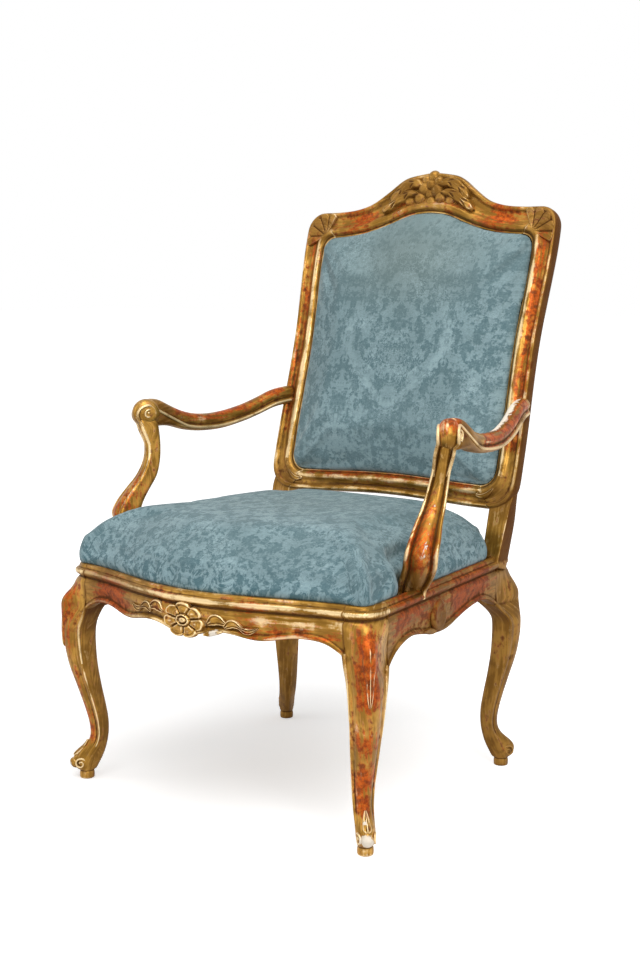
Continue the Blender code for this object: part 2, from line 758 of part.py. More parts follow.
def support_foot():
    """Half span of the support's foot, just inside the bead along its whole depth."""
    return side_x(SUPPORT_PLACE + SUPPORT_DEPTH / 4) - BEAD_WIDTH - SUPPORT_WIDTH / 2 - 2 * CLEARANCE


def arm(name, side):
    """Arm from its root on a post forward to the scrolled end over the support."""
    section = unit_ring(ARM_COUNTS, FLAT_BELOW)
    _, out, ahead, _, _ = SUPPORT_STATIONS[-1]
    tip = (support_foot() + out + ARM_TIP_OUT, SUPPORT_PLACE - ahead - ARM_OVERHANG)
    heel = back_point(ARM_ROOT_HALF, ARM_ROOT_HEIGHT, 0.0)
    rings = []
    for forward in (CLEARANCE - HOUSING_DEPTH, CLEARANCE + MOULDING_RELIEF):
        stub = []
        for a, b, _ in section:
            z = ARM_ROOT_HEIGHT + b * ARM_ROOT_DEPTH / 2
            stub.append(back_point(ARM_ROOT_HALF + a * ARM_ROOT_WIDTH / 2, z, forward))
        rings.append(stub)
    for forth, out, rise, depth, width in ARM_STATIONS:
        span = heel[0] + (tip[0] - heel[0]) * out
        place = heel[1] + (tip[1] - heel[1]) * forth
        middle = ARM_SEAT + rise + depth / 2
        rings.append([(span + a * width / 2, place, middle + b * depth / 2) for a, b, _ in section])
    return loft(name, mirrored(rings, side), GILTWOOD)


def arm_support(name, side):
    """Curved support from the side rail's top to the underside of the arm."""
    foot = RAIL_TOP + CLEARANCE
    section = unit_ring(ARM_COUNTS, ROUNDED)
    rings = []
    for share, out, ahead, width, depth in SUPPORT_STATIONS:
        span, place = support_foot() + out, SUPPORT_PLACE - ahead
        z = foot + (SUPPORT_TOP - foot) * share
        rings.append([(span + a * width / 2, place + b * depth / 2, z) for a, b, _ in section])
    return loft(name, mirrored(rings, side), GILTWOOD)


def house_arm(post, side):
    """Flat housing in a post's front for the end of an arm."""
    spare = 2 * CLEARANCE
    size = (ARM_ROOT_WIDTH + spare, 2 * HOUSING_DEPTH, ARM_ROOT_DEPTH / math.cos(BACK_RAKE) + spare)
    centre = Vector(back_point(side * ARM_ROOT_HALF, ARM_ROOT_HEIGHT, 0.0))
    turn = Matrix.Rotation(-BACK_RAKE, 4, "X")
    combine(post, cutter(post.name + "_housing", box_mesh(post.name, size), centre, turn), "DIFFERENCE")


# Upholstery

def seat_rear_edge():
    """Rear edge of the seat cover, on the middle of the rear rail."""
    return SEAT_DEPTH - RAIL_THICKNESS / 2


def seat_outline(inset, notched=1.0):
    """Edge of the seat cover on the rail tops, drawn in round the supports and the posts."""
    gap = BEAD_WIDTH + 2 * CLEARANCE + inset
    notch = support_foot() - SUPPORT_WIDTH / 2 - 2 * CLEARANCE - inset
    half = []
    for x in spread(0.0, FRONT_JOINT, 8):
        half.append((x, front_y(x) + gap))
    corner = (side_x(0.0) - gap, FRONT_EDGE + gap)
    for aside, back in CORNER_CUTS:
        half.append((corner[0] - BEAD_WIDTH * aside, corner[1] + BEAD_WIDTH * back))
    half.append((side_x(-FRONT_EDGE) - gap, -FRONT_EDGE))
    for share, drawn in NOTCH_SHARES:
        y = SUPPORT_PLACE + SUPPORT_DEPTH * share
        edge = side_x(y) - gap
        half.append((edge + (notch - edge) * drawn * notched, y))
    rear = back_point(0.0, RAIL_TOP, 0.0)[1] - 2 * BEAD_WIDTH * math.tan(BACK_RAKE)
    for y in spread(SUPPORT_PLACE + 2 * SUPPORT_DEPTH, rear - BEAD_WIDTH - inset, 4):
        half.append((side_x(y) - gap, y))
    half.append((side_x(rear) - gap - BEAD_WIDTH / 2, rear - inset))
    half.append((REAR_RAIL_JOINT, rear - inset))
    for share in (0.9, 0.5):
        half.append((REAR_RAIL_JOINT * share, seat_rear_edge() - inset))
    middle = [(0.0, seat_rear_edge() - inset)]
    left = [(-x, y) for x, y in reversed(half[1:])]
    return half + middle + left


def sight_outline(inset):
    """Edge of the back panel just inside the frame, as half width and height."""
    half = []
    for share in spread(0.0, PANEL_ENDS[0], 5):
        x = SIGHT_HALF * share
        half.append((x, lower_rail_edge(x, SIGHT_BOTTOM) + inset))
    for z in stile_heights():
        half.append((sight_x(z) - inset, z))
    for share in spread(PANEL_ENDS[1], 0.0, 8):
        x = CREST_JOINT * share
        half.append((x, sight_top(x) - inset))
    left = [(-x, z) for x, z in reversed(half[1:-1])]
    return half + left


DOME_SHARES = (0.3, 0.55, 0.75, 0.87, 0.94, 0.98)
FULLNESS = 7.0
SHOULDER = 0.42


def swell_share(k):
    """Height of a stuffed form at a share of the way to its edge."""
    return (1 - k**FULLNESS) ** SHOULDER


def drawn_share(k):
    """How far a share of the way to the edge follows the notches of that edge."""
    t = max(0.0, (k - DOME_SHARES[2]) / (1 - DOME_SHARES[2]))
    return t * t * (3 - 2 * t)


def dome(bm, outline, inset, centre, place, crown, foot, bed):
    """Grid of a stuffed top: a pole, rings, and the edge on its bed. Returns the edge's points."""
    pole = bm.verts.new(place(*centre, foot + crown))
    rings = []
    for k in DOME_SHARES + (1.0,):
        lift = foot + crown * swell_share(k) if k < 1.0 else bed
        ring = []
        for a, b in outline(inset, drawn_share(k)):
            spot = (centre[0] + k * (a - centre[0]), centre[1] + k * (b - centre[1]))
            ring.append(bm.verts.new(place(*spot, lift)))
        rings.append(ring)
    count = len(rings[0])
    for i in range(count):
        j = (i + 1) % count
        bm.faces.new((pole, rings[0][i], rings[0][j]))
        for low, high in zip(rings, rings[1:]):
            bm.faces.new((low[i], high[i], high[j], low[j]))
    return rings[-1]


def shell(name, outline, centre, place, crown, foot):
    """Cover: a domed sheet of cloth thickness, open underneath."""
    bm = bmesh.new()
    outside = dome(bm, outline, 0.0, centre, place, crown, foot, foot)
    inside = dome(bm, outline, COVER_THICKNESS, centre, place, crown - COVER_THICKNESS, foot, foot)
    for i in range(len(outside)):
        j = (i + 1) % len(outside)
        bm.faces.new((outside[i], outside[j], inside[j], inside[i]))
    return add_object(name, mesh_from(bm, name), DAMASK)


def stuffing(name, outline, centre, place, crown, foot, bed):
    """Stuffing: the dome of its cover, a little inside it, down to a flat bed."""
    bm = bmesh.new()
    inset = COVER_THICKNESS + STUFFING_INSET
    edge = dome(bm, outline, inset, centre, place, crown - COVER_THICKNESS - CLEARANCE, foot, bed)
    bm.faces.new(edge)
    return add_object(name, mesh_from(bm, name), HORSEHAIR)


def sheet(name, outline, place, low, high, material):
    """Flat cloth cut to an outline."""
    rings = [[place(a, b, level) for a, b in outline] for level in (low, high)]
    return loft(name, rings, material)


def crossing(outline, axis, at):
    """Where a line across an outline meets its two edges."""
    hits = []
    for p, q in zip(outline, outline[1:] + outline[:1]):
        a, b = p[axis] - at, q[axis] - at
        if (a <= 0) != (b <= 0):
            share = a / (a - b)
            hits.append(p[1 - axis] + share * (q[1 - axis] - p[1 - axis]))
    return min(hits), max(hits)


def strap(name, centre, size, tilt):
    piece = add_object(name, box_mesh(name, size), WEBBING)
    piece.matrix_local = Matrix.Translation(centre) @ Matrix.Rotation(tilt, 4, "X")
    return piece


def shortest_run(outline, axis, at, width):
    """Length that a strap of some width keeps inside an outline."""
    ends = [crossing(outline, axis, at + shift) for shift in (-width / 2, 0.0, width / 2)]
    return max(low for low, _ in ends), min(high for _, high in ends)


def evenly(count, pitch):
    """Places on both sides of nought, a pitch apart."""
    return [(i - (count - 1) / 2) * pitch for i in range(count)]


def seat_cross_places():
    """One strap in front of the arm supports and three behind them."""
    clear = SUPPORT_DEPTH + SEAT_STRAP_WIDTH / 2
    behind = [SUPPORT_PLACE + clear + i * SEAT_CROSS_PITCH for i in range(3)]
    return [SUPPORT_PLACE - clear - SEAT_STRAP_WIDTH / 2] + behind


def seat_upholstery():
    def place(x, y, z):
        return (x, y, z)

    base = RAIL_TOP + CLEARANCE
    edge = seat_outline(SHEET_INSET)
    for number, y in enumerate(seat_cross_places(), 1):
        low, high = shortest_run(edge, 1, y, SEAT_STRAP_WIDTH)
        centre = Vector(((low + high) / 2, y, base + STRAP_THICKNESS / 2))
        strap(f"seat_webbing_cross_{number}", centre, (high - low, SEAT_STRAP_WIDTH, STRAP_THICKNESS), 0.0)
    second = base + STRAP_THICKNESS + CLEARANCE
    for number, x in enumerate(evenly(4, SEAT_LONG_PITCH), 1):
        low, high = shortest_run(edge, 0, x, SEAT_STRAP_WIDTH)
        centre = Vector((x, (low + high) / 2, second + STRAP_THICKNESS / 2))
        strap(f"seat_webbing_long_{number}", centre, (SEAT_STRAP_WIDTH, high - low, STRAP_THICKNESS), 0.0)
    cloth = second + STRAP_THICKNESS + CLEARANCE
    sheet("seat_hessian", edge, place, cloth, cloth + HESSIAN_THICKNESS, HESSIAN)
    centre = (0.0, (front_y(0.0) + seat_rear_edge()) / 2)
    bed = cloth + HESSIAN_THICKNESS + CLEARANCE
    stuffing("seat_stuffing", seat_outline, centre, place, SEAT_CROWN, base, bed)
    shell("seat_cover", seat_outline, centre, place, SEAT_CROWN, base)


def back_upholstery():
    base = CLEARANCE - LEDGE_DEPTH
    edge = sight_outline(SHEET_INSET)
    slope = 1 / math.cos(BACK_RAKE)
    middle = (SIGHT_BOTTOM + SIGHT_TOP) / 2
    for number, step in enumerate(evenly(3, BACK_CROSS_PITCH), 1):
        z = middle + step
        low, high = shortest_run(edge, 1, z, BACK_STRAP_WIDTH)
        centre = Vector(back_point((low + high) / 2, z, base + STRAP_THICKNESS / 2))
        size = (high - low, STRAP_THICKNESS, BACK_STRAP_WIDTH)
        strap(f"back_webbing_cross_{number}", centre, size, -BACK_RAKE)
    second = base + STRAP_THICKNESS + CLEARANCE
    for number, x in enumerate(evenly(3, BACK_LONG_PITCH), 1):
        low, high = shortest_run(edge, 0, x, BACK_STRAP_WIDTH)
        centre = Vector(back_point(x, (low + high) / 2, second + STRAP_THICKNESS / 2))
        size = (BACK_STRAP_WIDTH, STRAP_THICKNESS, (high - low) * slope)
        strap(f"back_webbing_long_{number}", centre, size, -BACK_RAKE)
    cloth = second + STRAP_THICKNESS + CLEARANCE
    sheet("back_hessian", edge, back_point, cloth, cloth + HESSIAN_THICKNESS, HESSIAN)
    centre = (0.0, middle)
    bed = cloth + HESSIAN_THICKNESS + CLEARANCE
    crown = BACK_CROWN + LEDGE_DEPTH

    def outline(inset, _):
        return sight_outline(inset + 2 * CLEARANCE)

    stuffing("back_stuffing", outline, centre, back_point, crown, base, bed)
    shell("back_cover", outline, centre, back_point, crown, base)
    rear = -BACK_THICKNESS - CLEARANCE
    sheet("outside_back_cover", sight_outline(0.0), back_point, rear - COVER_THICKNESS, rear, DAMASK)


# Assembly

def build_frame():
    front = front_rail("front_seat_rail")
    rear = rear_rail("rear_seat_rail")
    crest = cross_member(
        "crest_rail", CREST_JOINT - CLEARANCE, 17, sight_top, crest_top, False, MOULDING_RELIEF
    )
    lower = cross_member(
        "lower_back_rail",
        POST_INNER_HALF - CLEARANCE,
        9,
        lambda x: lower_rail_edge(x, LOWER_RAIL_BOTTOM),
        lambda x: lower_rail_edge(x, SIGHT_BOTTOM),
        True,
        MOULDING_RELIEF,
    )
    for word in SIDES:
        side = 1.0 if word == "left" else -1.0
        leg = front_leg(f"front_leg_{word}", side)
        post = back_post(f"back_post_{word}", side)
        rail = side_rail(f"side_seat_rail_{word}", side)
        wing = arm(f"arm_{word}", side)
        prop = arm_support(f"arm_support_{word}", side)
        house_arm(post, side)
        join_seat(word, side, front, rear, leg, post, rail)
        join_back(word, side, crest, lower, post)
        join_arm(word, side, post, rail, wing, prop)


def join_seat(word, side, front, rear, leg, post, rail):
    """Tenons and pegs of the seat frame on one side."""
    flat = (TENON_THICKNESS, TENON_HEIGHT)
    out = Vector((side, 0.0, 0.0))
    middle = front_y(FRONT_JOINT) + RAIL_THICKNESS / 2
    root = Vector((side * FRONT_JOINT, middle, TENON_CENTRE))
    tenon(front, leg, root, 0, side * TENON_LENGTH, flat)
    head = Vector((root.x + side * TENON_LENGTH / 2, front_y(FRONT_JOINT) + FACE_INSET, TENON_CENTRE))
    peg(f"peg_front_rail_{word}", (leg, front), head, Vector((0, 1, 0)))

    middle = side_x(SIDE_JOINT) - RAIL_THICKNESS / 2
    root = Vector((side * middle, SIDE_JOINT, TENON_CENTRE))
    tenon(rail, leg, root, 1, -TENON_LENGTH, flat)
    edge = side_x(SIDE_JOINT) - FACE_INSET
    head = Vector((side * edge, SIDE_JOINT - TENON_LENGTH / 2, TENON_CENTRE))
    peg(f"peg_side_rail_front_{word}", (leg, rail), head, -out)

    middle = side_x(REAR_JOINT) - RAIL_THICKNESS / 2
    root = Vector((side * middle, REAR_JOINT, TENON_CENTRE))
    tenon(rail, post, root, 1, REAR_TENON_LENGTH, flat)
    edge = side_x(REAR_JOINT) - FACE_INSET
    head = Vector((side * edge, REAR_JOINT + REAR_TENON_LENGTH / 2, TENON_CENTRE - TENON_HEIGHT / 4))
    peg(f"peg_side_rail_rear_{word}", (post, rail), head, -out)

    middle = SEAT_DEPTH - RAIL_THICKNESS / 2
    root = Vector((side * REAR_RAIL_JOINT, middle, TENON_CENTRE))
    tenon(rear, post, root, 0, side * REAR_TENON_LENGTH, flat)
    head = Vector((root.x + side * REAR_TENON_LENGTH / 2, SEAT_DEPTH, TENON_CENTRE + TENON_HEIGHT / 4))
    peg(f"peg_rear_rail_{word}", (post, rear), head, Vector((0, -1, 0)))


def join_back(word, side, crest, lower, post):
    """Tenons and pegs of the back frame on one side."""
    flat = (TENON_THICKNESS, BACK_TENON_HEIGHT)
    inward = Vector((0.0, -math.cos(BACK_RAKE), math.sin(BACK_RAKE)))
    joints = (
        ("crest_rail", crest, CREST_JOINT, (SIGHT_TOP + SHOULDER_TOP) / 2),
        ("lower_back_rail", lower, POST_INNER_HALF, (LOWER_RAIL_BOTTOM + SIGHT_BOTTOM) / 2),
    )
    for label, member, joint, height in joints:
        root = Vector(back_point(side * joint, height, -BACK_THICKNESS * BACK_TENON_PLACE))
        tenon(member, post, root, 0, side * BACK_TENON_LENGTH, flat, -BACK_RAKE)
        place = side * (joint + BACK_TENON_LENGTH / 2)
        head = Vector(back_point(place, height, -BACK_THICKNESS))
        peg(f"peg_{label}_{word}", (post, member), head, inward, BACK_PEG_LENGTH)


def join_arm(word, side, post, rail, wing, prop):
    """Tenons and pegs that hold an arm and its support."""
    out = Vector((side, 0.0, 0.0))
    root = Vector(back_point(side * ARM_ROOT_HALF, ARM_ROOT_HEIGHT, -HOUSING_DEPTH))
    tenon(wing, post, root, 1, ARM_TENON_LENGTH, (TENON_THICKNESS, ARM_TENON_HEIGHT), -BACK_RAKE)
    edge = sight_x(ARM_ROOT_HEIGHT) + STILE_WIDTH
    head = Vector(back_point(side * edge, ARM_ROOT_HEIGHT, -HOUSING_DEPTH - ARM_TENON_LENGTH / 2))
    peg(f"peg_arm_{word}", (post, wing), head, -out)

    root = Vector((side * support_foot(), SUPPORT_PLACE, RAIL_TOP))
    tenon(prop, rail, root, 2, -SUPPORT_TENON_LENGTH, (TENON_THICKNESS, SUPPORT_TENON_DEPTH))
    inside = side_x(SUPPORT_PLACE) - RAIL_THICKNESS
    head = Vector((side * inside, SUPPORT_PLACE, RAIL_TOP - SUPPORT_TENON_LENGTH / 2))
    peg(f"peg_arm_support_{word}", (rail, prop), head, out, BACK_PEG_LENGTH)

    _, shift, ahead, _, _ = SUPPORT_STATIONS[-1]
    root = Vector((side * (support_foot() + shift), SUPPORT_PLACE - ahead, SUPPORT_TOP))
    tenon(prop, wing, root, 2, ARM_TENON_LENGTH, (TENON_THICKNESS, TENON_THICKNESS))


def centre_on_footprint():
    """Moves the chair so that its origin is at the middle of its box, on the floor."""
    bpy.context.view_layer.update()
    places = []
    for piece in chair.objects:
        if piece.type == "MESH":
            places += [(piece.matrix_local @ vertex.co).y for vertex in piece.data.vertices]
    origin.location.y = -(min(places) + max(places)) / 2


build_frame()
seat_upholstery()
back_upholstery()
centre_on_footprint()
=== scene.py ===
# %% [markdown]
# # A gilt armchair in blue damask
#
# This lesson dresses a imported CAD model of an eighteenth-century open armchair. The CAD model holds the sizes
# and the joints. Here each of its members gets the carving, the worn gilding and the cloth that the real chair
# has, and stays exactly where the CAD member is.

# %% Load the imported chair
import json
import math

import bpy
import numpy as np
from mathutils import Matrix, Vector


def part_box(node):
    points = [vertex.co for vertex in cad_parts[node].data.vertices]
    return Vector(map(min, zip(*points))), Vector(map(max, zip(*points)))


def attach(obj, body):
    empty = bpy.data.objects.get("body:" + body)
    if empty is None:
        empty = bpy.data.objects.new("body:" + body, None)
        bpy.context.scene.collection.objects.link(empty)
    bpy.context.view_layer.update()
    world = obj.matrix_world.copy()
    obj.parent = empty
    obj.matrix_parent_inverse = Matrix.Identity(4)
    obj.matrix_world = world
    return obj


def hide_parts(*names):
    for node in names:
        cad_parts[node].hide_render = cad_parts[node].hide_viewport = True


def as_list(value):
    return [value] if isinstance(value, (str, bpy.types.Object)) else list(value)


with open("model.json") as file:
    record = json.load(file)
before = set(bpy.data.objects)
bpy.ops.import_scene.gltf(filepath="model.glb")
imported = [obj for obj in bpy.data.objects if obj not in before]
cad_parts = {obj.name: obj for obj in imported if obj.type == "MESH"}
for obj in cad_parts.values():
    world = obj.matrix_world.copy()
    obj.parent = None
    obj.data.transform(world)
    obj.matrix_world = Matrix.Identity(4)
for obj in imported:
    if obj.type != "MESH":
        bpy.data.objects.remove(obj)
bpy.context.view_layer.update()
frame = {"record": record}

feet = {mount["name"]: mount["pos_m"] for mount in frame["record"]["mounts"]}
FEET_LINE = feet["front_foot_left"][1]

# %% [markdown]
# ## The sizes of the real chair
#
# A maker works from a full-size drawing. These are its measures, in metres, with lengths from front to back
# counted from the line through the front feet. Most are the ones that the CAD model was drawn from, because the
# dressed members have to sit in the same joints. A few outlines follow the real chair more closely.

# %% Measures of the seat frame, the legs, the back and the arms
RAIL_TOP, BEAD_TOP, RAIL_THICKNESS = 0.350, 0.362, 0.034
SEAT_FRONT_HALF, SEAT_REAR_HALF, SEAT_DEPTH = 0.3075, 0.2394, 0.495
FRONT_EDGE, FRONT_BULGE, BEAD_WIDTH = -0.022, 0.060, 0.008
FRONT_JOINT, SIDE_JOINT, REAR_JOINT, REAR_RAIL_JOINT = 0.262, 0.035, 0.437, 0.2084
FOOT_FRONT_HALF, FOOT_REAR_HALF, FOOT_REAR_PLACE = 0.286, 0.235, 0.476
LEG_HEIGHT, REAR_KNEE_EASE = 0.280, 0.004
BACK_RAKE, BACK_SETBACK = math.radians(15.0), 0.0275
LOWER_RAIL_BOTTOM, SIGHT_BOTTOM, SIGHT_TOP, SHOULDER_TOP = 0.446, 0.483, 0.906, 0.953
SIGHT_HALF, STILE_WIDTH, CREST_JOINT, POST_INNER_HALF = 0.216, 0.0435, 0.200, 0.213
SUPPORT_FOOT, SUPPORT_PLACE, SUPPORT_TOP = 0.2653, 0.1535, 0.5745
ARM_ROOT_HALF, ARM_ROOT_HEIGHT, ARM_TIP = 0.249, 0.615, (0.3123, 0.1543)

# Share of the leg's height, outward reach, inward reach and half width there
LEG_STATIONS = (
    (0.055, 0.0160, 0.0160, 0.0125), (0.090, 0.0230, 0.0210, 0.0145), (0.125, 0.0230, 0.0260, 0.0150),
    (0.160, 0.0150, 0.0300, 0.0148), (0.195, 0.0030, 0.0330, 0.0147), (0.235, -0.0045, 0.0355, 0.0147),
    (0.285, -0.0070, 0.0373, 0.0155), (0.360, -0.0040, 0.0370, 0.0170), (0.450, 0.0030, 0.0330, 0.0190),
    (0.570, 0.0140, 0.0265, 0.0215), (0.700, 0.0260, 0.0210, 0.0240), (0.820, 0.0325, 0.0190, 0.0260),
    (0.910, 0.0340, 0.0195, 0.0278), (1.000, 0.0330, 0.0245, 0.0300),
)
# Share of the support's height, shift outwards and forwards, width and depth
SUPPORT_STATIONS = (
    (0.000, -0.003, -0.003, 0.0410, 0.0330), (0.065, -0.001, 0.000, 0.0450, 0.0360),
    (0.155, 0.0145, 0.0150, 0.0510, 0.0410), (0.245, 0.0280, 0.0264, 0.0520, 0.0440),
    (0.356, 0.0360, 0.0335, 0.0510, 0.0455), (0.445, 0.0360, 0.0244, 0.0480, 0.0420),
    (0.530, 0.0325, 0.0105, 0.0425, 0.0375), (0.640, 0.0283, -0.0103, 0.0365, 0.0320),
    (0.760, 0.0276, -0.0224, 0.0315, 0.0265), (0.880, 0.0305, -0.0270, 0.0288, 0.0265),
    (1.000, 0.0372, -0.0255, 0.0305, 0.0340), (1.030, 0.0388, -0.0250, 0.0285, 0.0340),
    (1.075, 0.0405, -0.0245, 0.0190, 0.0300),
)
# Share of the way forward and of the way outward, rise of the underside, depth and width
ARM_STATIONS = (
    (0.000, 0.000, 0.0232, 0.0340, 0.028), (0.106, 0.169, 0.0172, 0.0340, 0.028),
    (0.199, 0.322, 0.0057, 0.0330, 0.028), (0.297, 0.475, -0.0048, 0.0320, 0.028),
    (0.441, 0.661, -0.0148, 0.0320, 0.028), (0.585, 0.763, -0.0158, 0.0320, 0.028),
    (0.700, 0.831, -0.0108, 0.0345, 0.029), (0.792, 0.915, -0.0023, 0.0395, 0.033),
    (0.850, 0.966, 0.0, 0.0467, 0.036), (0.911, 1.000, 0.0, 0.0492, 0.036), (1.000, 1.000, 0.0, 0.0492, 0.036),
)
print("seat", 2 * SEAT_FRONT_HALF, "wide,", SEAT_DEPTH, "deep; back opening", 2 * SIGHT_HALF)

# %% [markdown]
# ## Curves of the drawing
#
# A serpentine chair has no straight edges, so its outlines are read from a few drawn points with an eased curve
# through them. The same eased curve draws the legs, the arms and the crest.

# %% The eased curve


def eased(rows, at, column=1):
    """Value of one column of the rows at a place in the first column, on a curve through the rows."""
    if at <= rows[0][0]:
        return rows[0][column]
    if at >= rows[-1][0]:
        return rows[-1][column]
    last = len(rows) - 1
    k = max(i for i in range(last) if rows[i][0] <= at)
    t0, v0, t1, v1 = rows[k][0], rows[k][column], rows[k + 1][0], rows[k + 1][column]
    before, after = rows[max(k - 1, 0)], rows[min(k + 2, last)]
    slope0 = (v1 - before[column]) / (t1 - before[0])
    slope1 = (after[column] - v0) / (after[0] - t0)
    s, gap = (at - t0) / (t1 - t0), t1 - t0
    return (
        (2 * s**3 - 3 * s**2 + 1) * v0 + (s**3 - 2 * s**2 + s) * gap * slope0
        + (3 * s**2 - 2 * s**3) * v1 + (s**3 - s**2) * gap * slope1
    )


def spread(low, high, count):
    return [low + (high - low) * i / (count - 1) for i in range(count)]


def ramp(value, low, high):
    """Nought below low, one above high, eased between."""
    t = min(max((value - low) / (high - low), 0.0), 1.0)
    return t * t * (3 - 2 * t)


def soft_spot(away, reach):
    """One at no distance, fading out over some reach."""
    return np.exp(-((away / reach) ** 2))


print("a quarter of the way up a ramp:", ramp(0.25, 0.0, 1.0))

# %% Outlines of the seat

FLOWER_PLACE, SWELL_REACH, APRON_DEPTH = 0.008, 0.042, 0.048
FLOWER_DROP, SIDE_DROP, SIDE_DROP_PLACE, BLOCK_DROP = 0.014, 0.010, 0.132, 0.008
BRACKET_START, BRACKET_REACH, BRACKET_DROP = 0.222, 0.040, 0.014
# Distance behind the front feet, and height of the lower edge of a side rail there
SIDE_APRON = (
    (0.035, 0.2690), (0.045, 0.2780), (0.060, 0.2880), (0.080, 0.2960), (0.100, 0.3005), (0.120, 0.3015),
    (0.140, 0.2990), (0.165, 0.2940), (0.195, 0.2895), (0.225, 0.2880), (0.250, 0.2905), (0.280, 0.2970),
    (0.320, 0.3040), (0.360, 0.3075), (0.385, 0.3060), (0.410, 0.2990), (0.437, 0.2860),
)


def side_x(y):
    return SEAT_FRONT_HALF - (SEAT_FRONT_HALF - SEAT_REAR_HALF) * y / SEAT_DEPTH


def front_y(x):
    share = min(abs(x) / (SEAT_FRONT_HALF - BEAD_WIDTH), 1.0)
    return FRONT_EDGE - FRONT_BULGE * (1 + math.cos(math.pi * share)) / 2


def front_apron(x):
    """Height of the lower edge of the front rail: three swellings, and a fall towards the legs."""
    reach = abs(x)
    drop = FLOWER_DROP * soft_spot(x - FLOWER_PLACE, SWELL_REACH)
    drop += SIDE_DROP * soft_spot(reach - SIDE_DROP_PLACE, SWELL_REACH)
    drop += BLOCK_DROP * soft_spot(FRONT_JOINT - reach, SWELL_REACH)
    fall = BRACKET_DROP * max(0.0, (reach - BRACKET_START) / BRACKET_REACH) ** 2
    return float(BEAD_TOP - APRON_DEPTH - drop - fall)


def side_apron(y):
    return eased(SIDE_APRON, y)


print("front edge swells", FRONT_BULGE, "and its apron hangs to", round(front_apron(FLOWER_PLACE), 3))

# %% Outlines of the back

CREST_RISE, SIGHT_RISE, LOWER_RISE = 0.067, 0.042, 0.007


def back_plane(z):
    """Distance of the leaning back plane behind the front feet, at a height."""
    return SEAT_DEPTH - BACK_SETBACK + (z - SIGHT_BOTTOM) * math.tan(BACK_RAKE)


def back_point(x, z, forward):
    """Point of the leaning back plane, moved forward along the plane's normal."""
    return (x, back_plane(z) - forward * math.cos(BACK_RAKE), z + forward * math.sin(BACK_RAKE))


def sight_x(z):
    share = (z - SIGHT_BOTTOM) / (SIGHT_TOP - SIGHT_BOTTOM)
    return SIGHT_HALF + eased(((0, 0), (0.2, 0), (0.54, -0.003), (0.86, 0.005), (1, 0.005)), share)


def sight_top(x):
    rows = ((0, 1), (0.2, 0.88), (0.42, 0.5), (0.65, 0.18), (0.85, 0.05), (1, 0))
    return SIGHT_TOP + SIGHT_RISE * eased(rows, abs(x) / CREST_JOINT)


def crest_top(x):
    rows = ((0, 1), (0.18, 0.93), (0.3, 0.84), (0.45, 0.52), (0.62, 0.2), (0.8, 0.05), (1, 0))
    return SHOULDER_TOP + CREST_RISE * eased(rows, abs(x) / CREST_JOINT)


def lower_edge(x, height):
    share = min(abs(x) / POST_INNER_HALF, 1.0)
    return height + LOWER_RISE * (1 + math.cos(math.pi * share)) / 2


print("crest rises to", round(crest_top(0.0), 3))

# %% [markdown]
# ## Tools of the bench
#
# A carved bar could be modelled from a cube with loop cuts, but its section changes all the way along. Here a grid
# primitive is added, each of its rows is laid on one section of the bar, the seam is merged and the two ends are
# filled, and a subdivision surface rounds it off. A tube along a drawn line makes the beads.

# %% Selecting, editing and finishing one piece


def take(piece):
    """Selects one piece alone, so that operators act on nothing else."""
    bpy.ops.object.select_all(action="DESELECT")
    piece.select_set(True)
    bpy.context.view_layer.objects.active = piece


def edit(piece):
    take(piece)
    bpy.ops.object.mode_set(mode="EDIT")
    bpy.ops.mesh.select_all(action="SELECT")


def leave():
    bpy.ops.object.mode_set(mode="OBJECT")


def finish_with(piece, kind, **settings):
    """Adds a modifier, sets it and applies it."""
    take(piece)
    bpy.ops.object.modifier_add(type=kind)
    modifier = piece.modifiers[-1]
    for key, value in settings.items():
        setattr(modifier, key, value)
    bpy.ops.object.modifier_apply(modifier=modifier.name)


def round_off(piece, levels=1):
    finish_with(piece, "SUBSURF", levels=levels, render_levels=levels)


def list_tools(*tools):
    print("ready:", ", ".join(tool.__name__ for tool in tools))


list_tools(take, edit, leave, finish_with, round_off)

# %% Laying a grid


def lay_grid(name, spots):
    """Grid primitive with its points laid on rows of places, and its UV map measured in metres."""
    table = np.array(spots, dtype=np.float64)
    table[:, :, 1] += FEET_LINE
    rows, across = table.shape[:2]
    bpy.ops.object.select_all(action="DESELECT")
    bpy.ops.mesh.primitive_grid_add(x_subdivisions=across - 1, y_subdivisions=rows - 1, size=1)
    piece = bpy.context.object
    piece.name = piece.data.name = name
    piece.data.vertices.foreach_set("co", table.reshape(-1))
    along = np.concatenate([[0], np.cumsum(np.linalg.norm(np.diff(table, axis=0), axis=2).mean(axis=1))])
    steps = np.linalg.norm(np.diff(table, axis=1), axis=2)
    girth = np.concatenate([np.zeros((rows, 1)), np.cumsum(steps, axis=1)], axis=1)
    flat = np.stack([np.repeat(along[:, None], across, axis=1), girth], axis=2).reshape(-1, 2)
    corners = np.empty(len(piece.data.loops), dtype=np.int32)
    piece.data.loops.foreach_get("vertex_index", corners)
    piece.data.uv_layers.active.data.foreach_set("uv", flat[corners].reshape(-1))
    piece.data.update()
    return piece


list_tools(lay_grid)

# %% Closing a grid into a bar or a carving

MERGE = 1e-6


def close_up(piece, fill=True):
    """Merges the seam and the poles of a laid grid, fills what is open and turns the faces outwards."""
    edit(piece)
    bpy.ops.mesh.remove_doubles(threshold=MERGE)
    bpy.ops.mesh.select_all(action="SELECT")
    if fill:
        bpy.ops.mesh.fill_holes(sides=0)
        bpy.ops.mesh.select_all(action="SELECT")
    bpy.ops.mesh.normals_make_consistent(inside=False)
    leave()


def roll_bar(name, sections, levels=1):
    """Closed bar through its sections."""
    piece = lay_grid(name, [list(section) + [section[0]] for section in sections])
    close_up(piece)
    if levels:
        round_off(piece, levels)
    return piece


